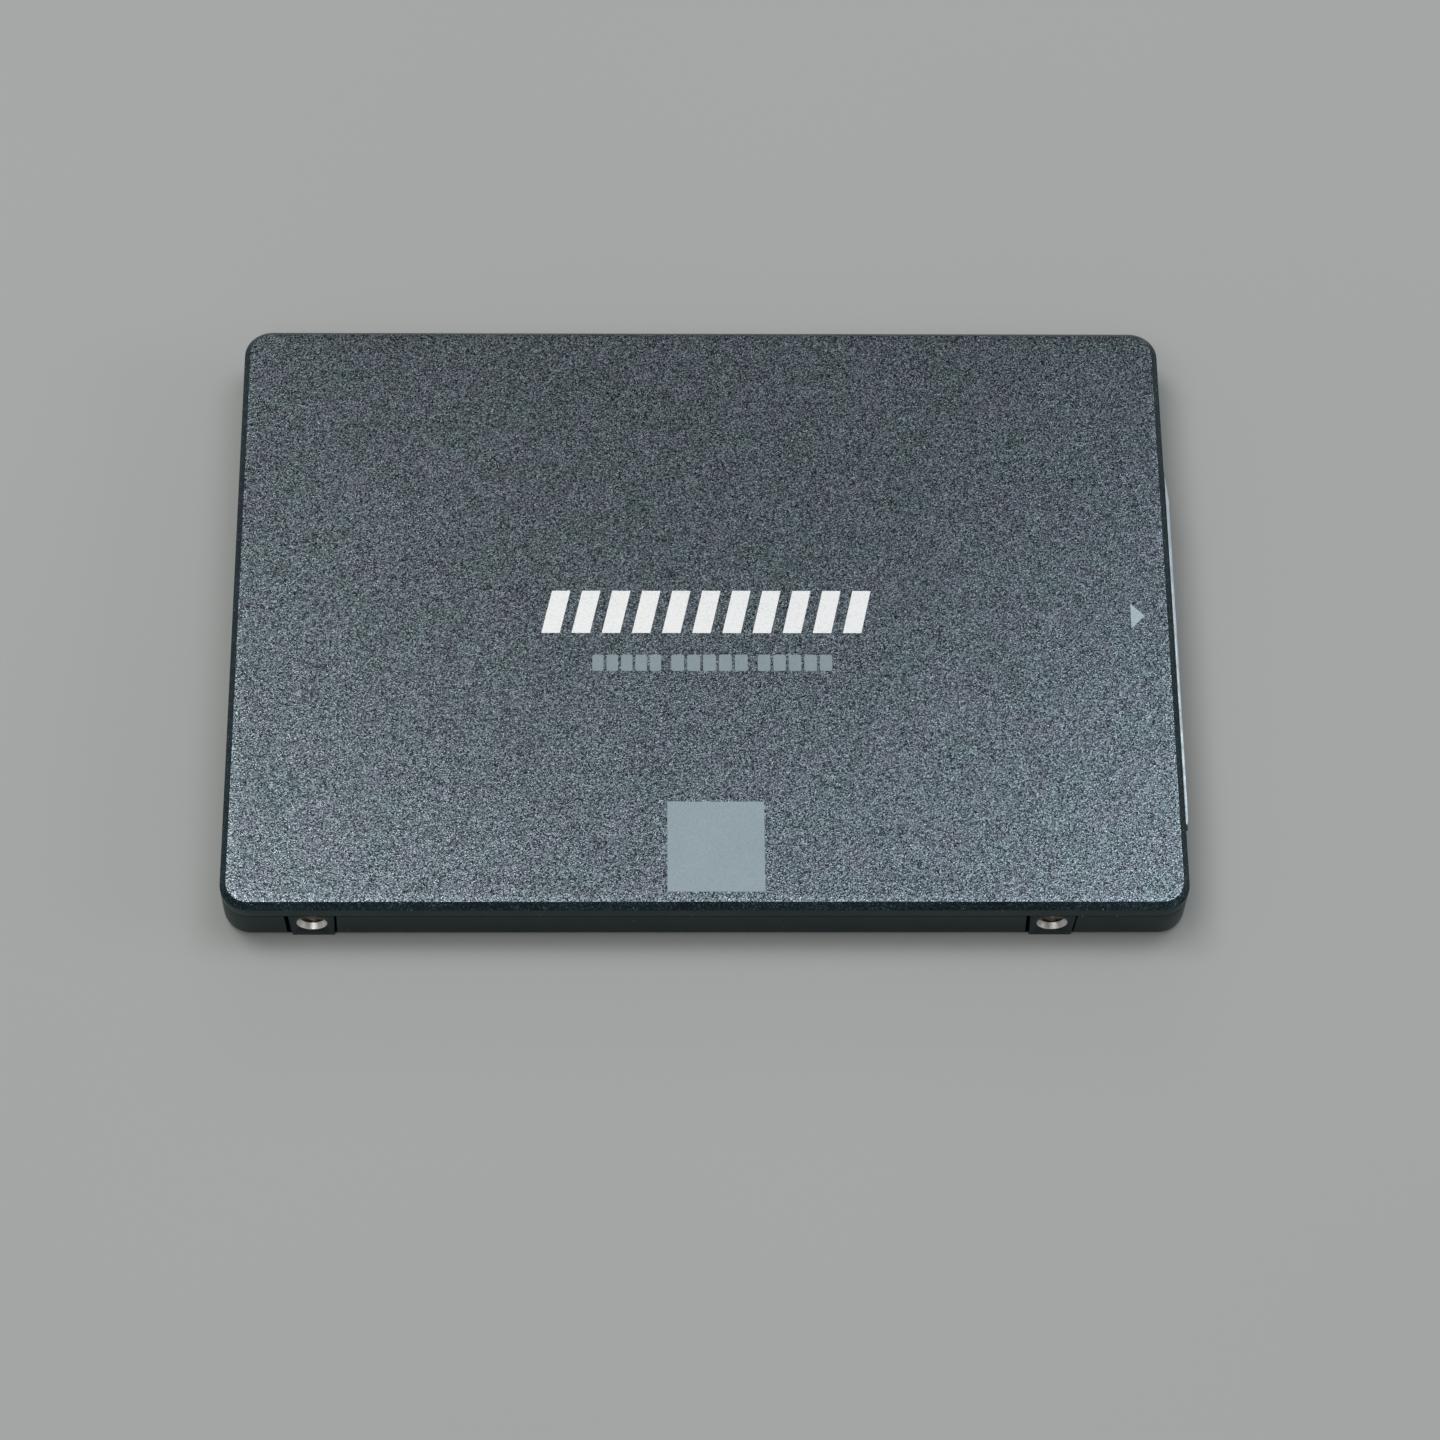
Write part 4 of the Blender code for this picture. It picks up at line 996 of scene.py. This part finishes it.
def finish_cad_node(name, material, width):
    """Give a CAD node that keeps its shape a material and rounded edges."""
    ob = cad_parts[name]
    ob.data.materials.clear()
    ob.data.materials.append(material)
    ob.modifiers.new("weld", "WELD").merge_threshold = SAME
    add_bevel(ob, width, CAD_ROUND_ANGLE)


# ---------- print on the cover

def print_object(name, outlines, material):
    """Flat shapes of ink that stand on the painted face, from outlines in mm."""
    bm = bmesh.new()
    for outline in outlines:
        add_prism(bm, [(x * MM, y * MM) for x, y in outline], FACE - PRINT_HEIGHT, TOP)
    finish_piece(new_object(name, bm, material), None, angle=FLAT_ANGLE)


def make_print(white, grey, pale, light):
    """A row of plain slanted bars, a dashed line, a square and an arrow to the plug."""
    middle = MIDDLE_X / MM
    bars = []
    for index in range(BAR_COUNT):
        x = middle + BARS_START + index * BAR_PITCH
        bars.append([(x, BARS_LOW), (x + BAR_WIDTH, BARS_LOW),
                     (x + BAR_WIDTH + BAR_SLANT, BARS_HIGH), (x + BAR_SLANT, BARS_HIGH)])
    print_object("front_print_bars", bars, white)

    dashes = []
    x = middle + DASHES_START
    for group_width in DASH_GROUPS:
        pitch = group_width / DASHES_IN_GROUP
        for index in range(DASHES_IN_GROUP):
            low = (x + index * pitch, DASHES_LOW)
            high = (x + (index + 1) * pitch - DASH_GAP, DASHES_HIGH)
            dashes.append(rounded_outline(low, high, DASH_CORNER, 3))
        x += group_width + GROUP_GAP
    print_object("front_print_dots", dashes, grey)

    square = rounded_outline((middle + SQUARE_LOW[0], SQUARE_LOW[1]),
                             (middle + SQUARE_HIGH[0], SQUARE_HIGH[1]), SQUARE_CORNER, 2)
    print_object("front_print_square", [square], pale)
    arrow = [(PLUG_END / MM + x, y) for x, y in ARROW]
    print_object("front_print_arrow", [arrow], light)


# ---------- stage

def soft_light(name, place, size, power, colour, target):
    light = bpy.data.lights.new(name, "AREA")
    light.shape = "RECTANGLE"
    light.size, light.size_y = size
    light.energy = power
    light.color = colour
    ob = bpy.data.objects.new(name, light)
    ob.location = place
    ob.rotation_euler = (Vector(target) - Vector(place)).to_track_quat("-Z", "Y").to_euler()
    bpy.context.scene.collection.objects.link(ob)


def make_stage():
    """A plain pale floor, soft lights and a dim white surround."""
    bm = bmesh.new()
    bmesh.ops.create_grid(bm, x_segments=1, y_segments=1, size=FLOOR_HALF)
    floor = new_object("floor", bm, floor_finish())
    floor.location.z = -FLOOR_DROP
    for light in LIGHTS:
        soft_light(*light)

    world = bpy.data.worlds.new("studio")
    world.use_nodes = True
    background = world.node_tree.nodes["Background"]
    background.inputs["Color"].default_value = rgb(*WHITE)
    background.inputs["Strength"].default_value = WORLD_STRENGTH
    bpy.context.scene.world = world
    bpy.context.scene.view_settings.view_transform = "Standard"


def make_camera():
    """A camera where the photographer's was, from its two angles and its roll."""
    data = bpy.data.cameras.new("camera")
    data.lens = CAMERA_LENS
    data.sensor_width = SENSOR_WIDTH
    data.clip_start, data.clip_end = CAMERA_CLIP
    camera = bpy.data.objects.new("camera", data)
    forward = Vector((sin(CAMERA_AZIMUTH) * cos(CAMERA_DOWN),
                      cos(CAMERA_AZIMUTH) * cos(CAMERA_DOWN), -sin(CAMERA_DOWN)))
    level = Vector((cos(CAMERA_AZIMUTH), -sin(CAMERA_AZIMUTH), 0.0))
    upright = level.cross(forward)
    right = level * cos(CAMERA_ROLL) + upright * sin(CAMERA_ROLL)
    up = upright * cos(CAMERA_ROLL) - level * sin(CAMERA_ROLL)
    turn = Matrix((right, up, -forward)).transposed().to_4x4()
    camera.matrix_world = Matrix.Translation(CAMERA_PLACE) @ turn
    bpy.context.scene.collection.objects.link(camera)
    bpy.context.scene.camera = camera


# ---------- assembly

paint = sparkle_paint()
# painted reflection: the bluer edge_black goes on the cover's up-facing chamfer and the greener
# tray_black on its faces below, one finish in two colours for the sky and floor they reflect
edge_black = black_finish("edge_black", rgb(0.0095, 0.016, 0.020), rough=0.34, glint_gain=9.0,
                          tint=rgb(0.62, 0.95, 1.0), rare=0.90, gloss=0.25)
tray_black = black_finish("tray_black", rgb(0.0055, 0.0115, 0.0115), rough=0.38, glint_gain=1.5,
                          tint=rgb(0.45, 0.95, 0.97), rare=0.99)
white_ink = ink("white_ink", rgb(1.0, 1.0, 1.0), metallic=0.8)
grey_ink = ink("grey_ink", rgb(0.32, 0.39, 0.42))
pale_ink = ink("pale_ink", rgb(0.36, 0.45, 0.485))
arrow_ink = ink("arrow_ink", rgb(0.49, 0.60, 0.64))
bright = bare_metal("bare_metal", rgb(0.97, 0.96, 0.93), 0.42)
# painted shade: the thread's bare metal is given a dark brown colour, far darker than the rim's,
# for the shade deep in the hole
thread_metal_painted_shade = bare_metal("thread_metal_painted_shade", rgb(0.34, 0.30, 0.26), 0.3)
strip_metal = bare_metal("strip_metal", rgb(0.468, 0.532, 0.57), 0.40)
steel = bare_metal("steel", rgb(0.50, 0.49, 0.47), 0.3)
gold = bare_metal("gold_plate", rgb(0.83, 0.60, 0.26), 0.24)
tin = bare_metal("tin_plate", rgb(0.66, 0.66, 0.64), 0.36)
plastic = moulded_plastic("plug_plastic", rgb(0.014, 0.014, 0.015))
moulding = speckled("chip_moulding", rgb(0.016, 0.016, 0.017), rgb(0.05, 0.05, 0.05),
                    0.55, 9000.0)
laminate = speckled("laminate", rgb(0.010, 0.055, 0.040), rgb(0.05, 0.10, 0.06), 0.5, 4000.0)
ferrite = speckled("ferrite", rgb(0.040, 0.037, 0.034), rgb(0.10, 0.095, 0.09), 0.62, 6500.0)
ceramic = speckled("ceramic", rgb(0.34, 0.235, 0.15), rgb(0.42, 0.31, 0.21), 0.42, 5200.0)
silicone = speckled("silicone", rgb(0.30, 0.35, 0.42), rgb(0.44, 0.48, 0.54), 0.78, 3600.0,
                    Specular_IOR_Level=0.3)

make_camera()
make_stage()
make_cover(paint, edge_black, strip_metal, tray_black)
make_strip_stub(edge_black)
make_base(tray_black)
make_mount_blocks(tray_black, bright, thread_metal_painted_shade)
make_screws(steel)
make_label(label_stock(), pale_ink)
make_plug(plastic)
make_contacts(gold)
make_packages(moulding, laminate, tin)
make_power_parts(ceramic, ferrite, tin)
make_print(white_ink, grey_ink, pale_ink, arrow_ink)
finish_cad_node("printed_circuit_board", solder_mask(), 0.05 * MM)
for name in LOCKS:
    finish_cad_node(name, tin, 0.06 * MM)
for name in ("controller_thermal_pad", "memory_thermal_pad"):
    finish_cad_node(name, silicone, 0.2 * MM)
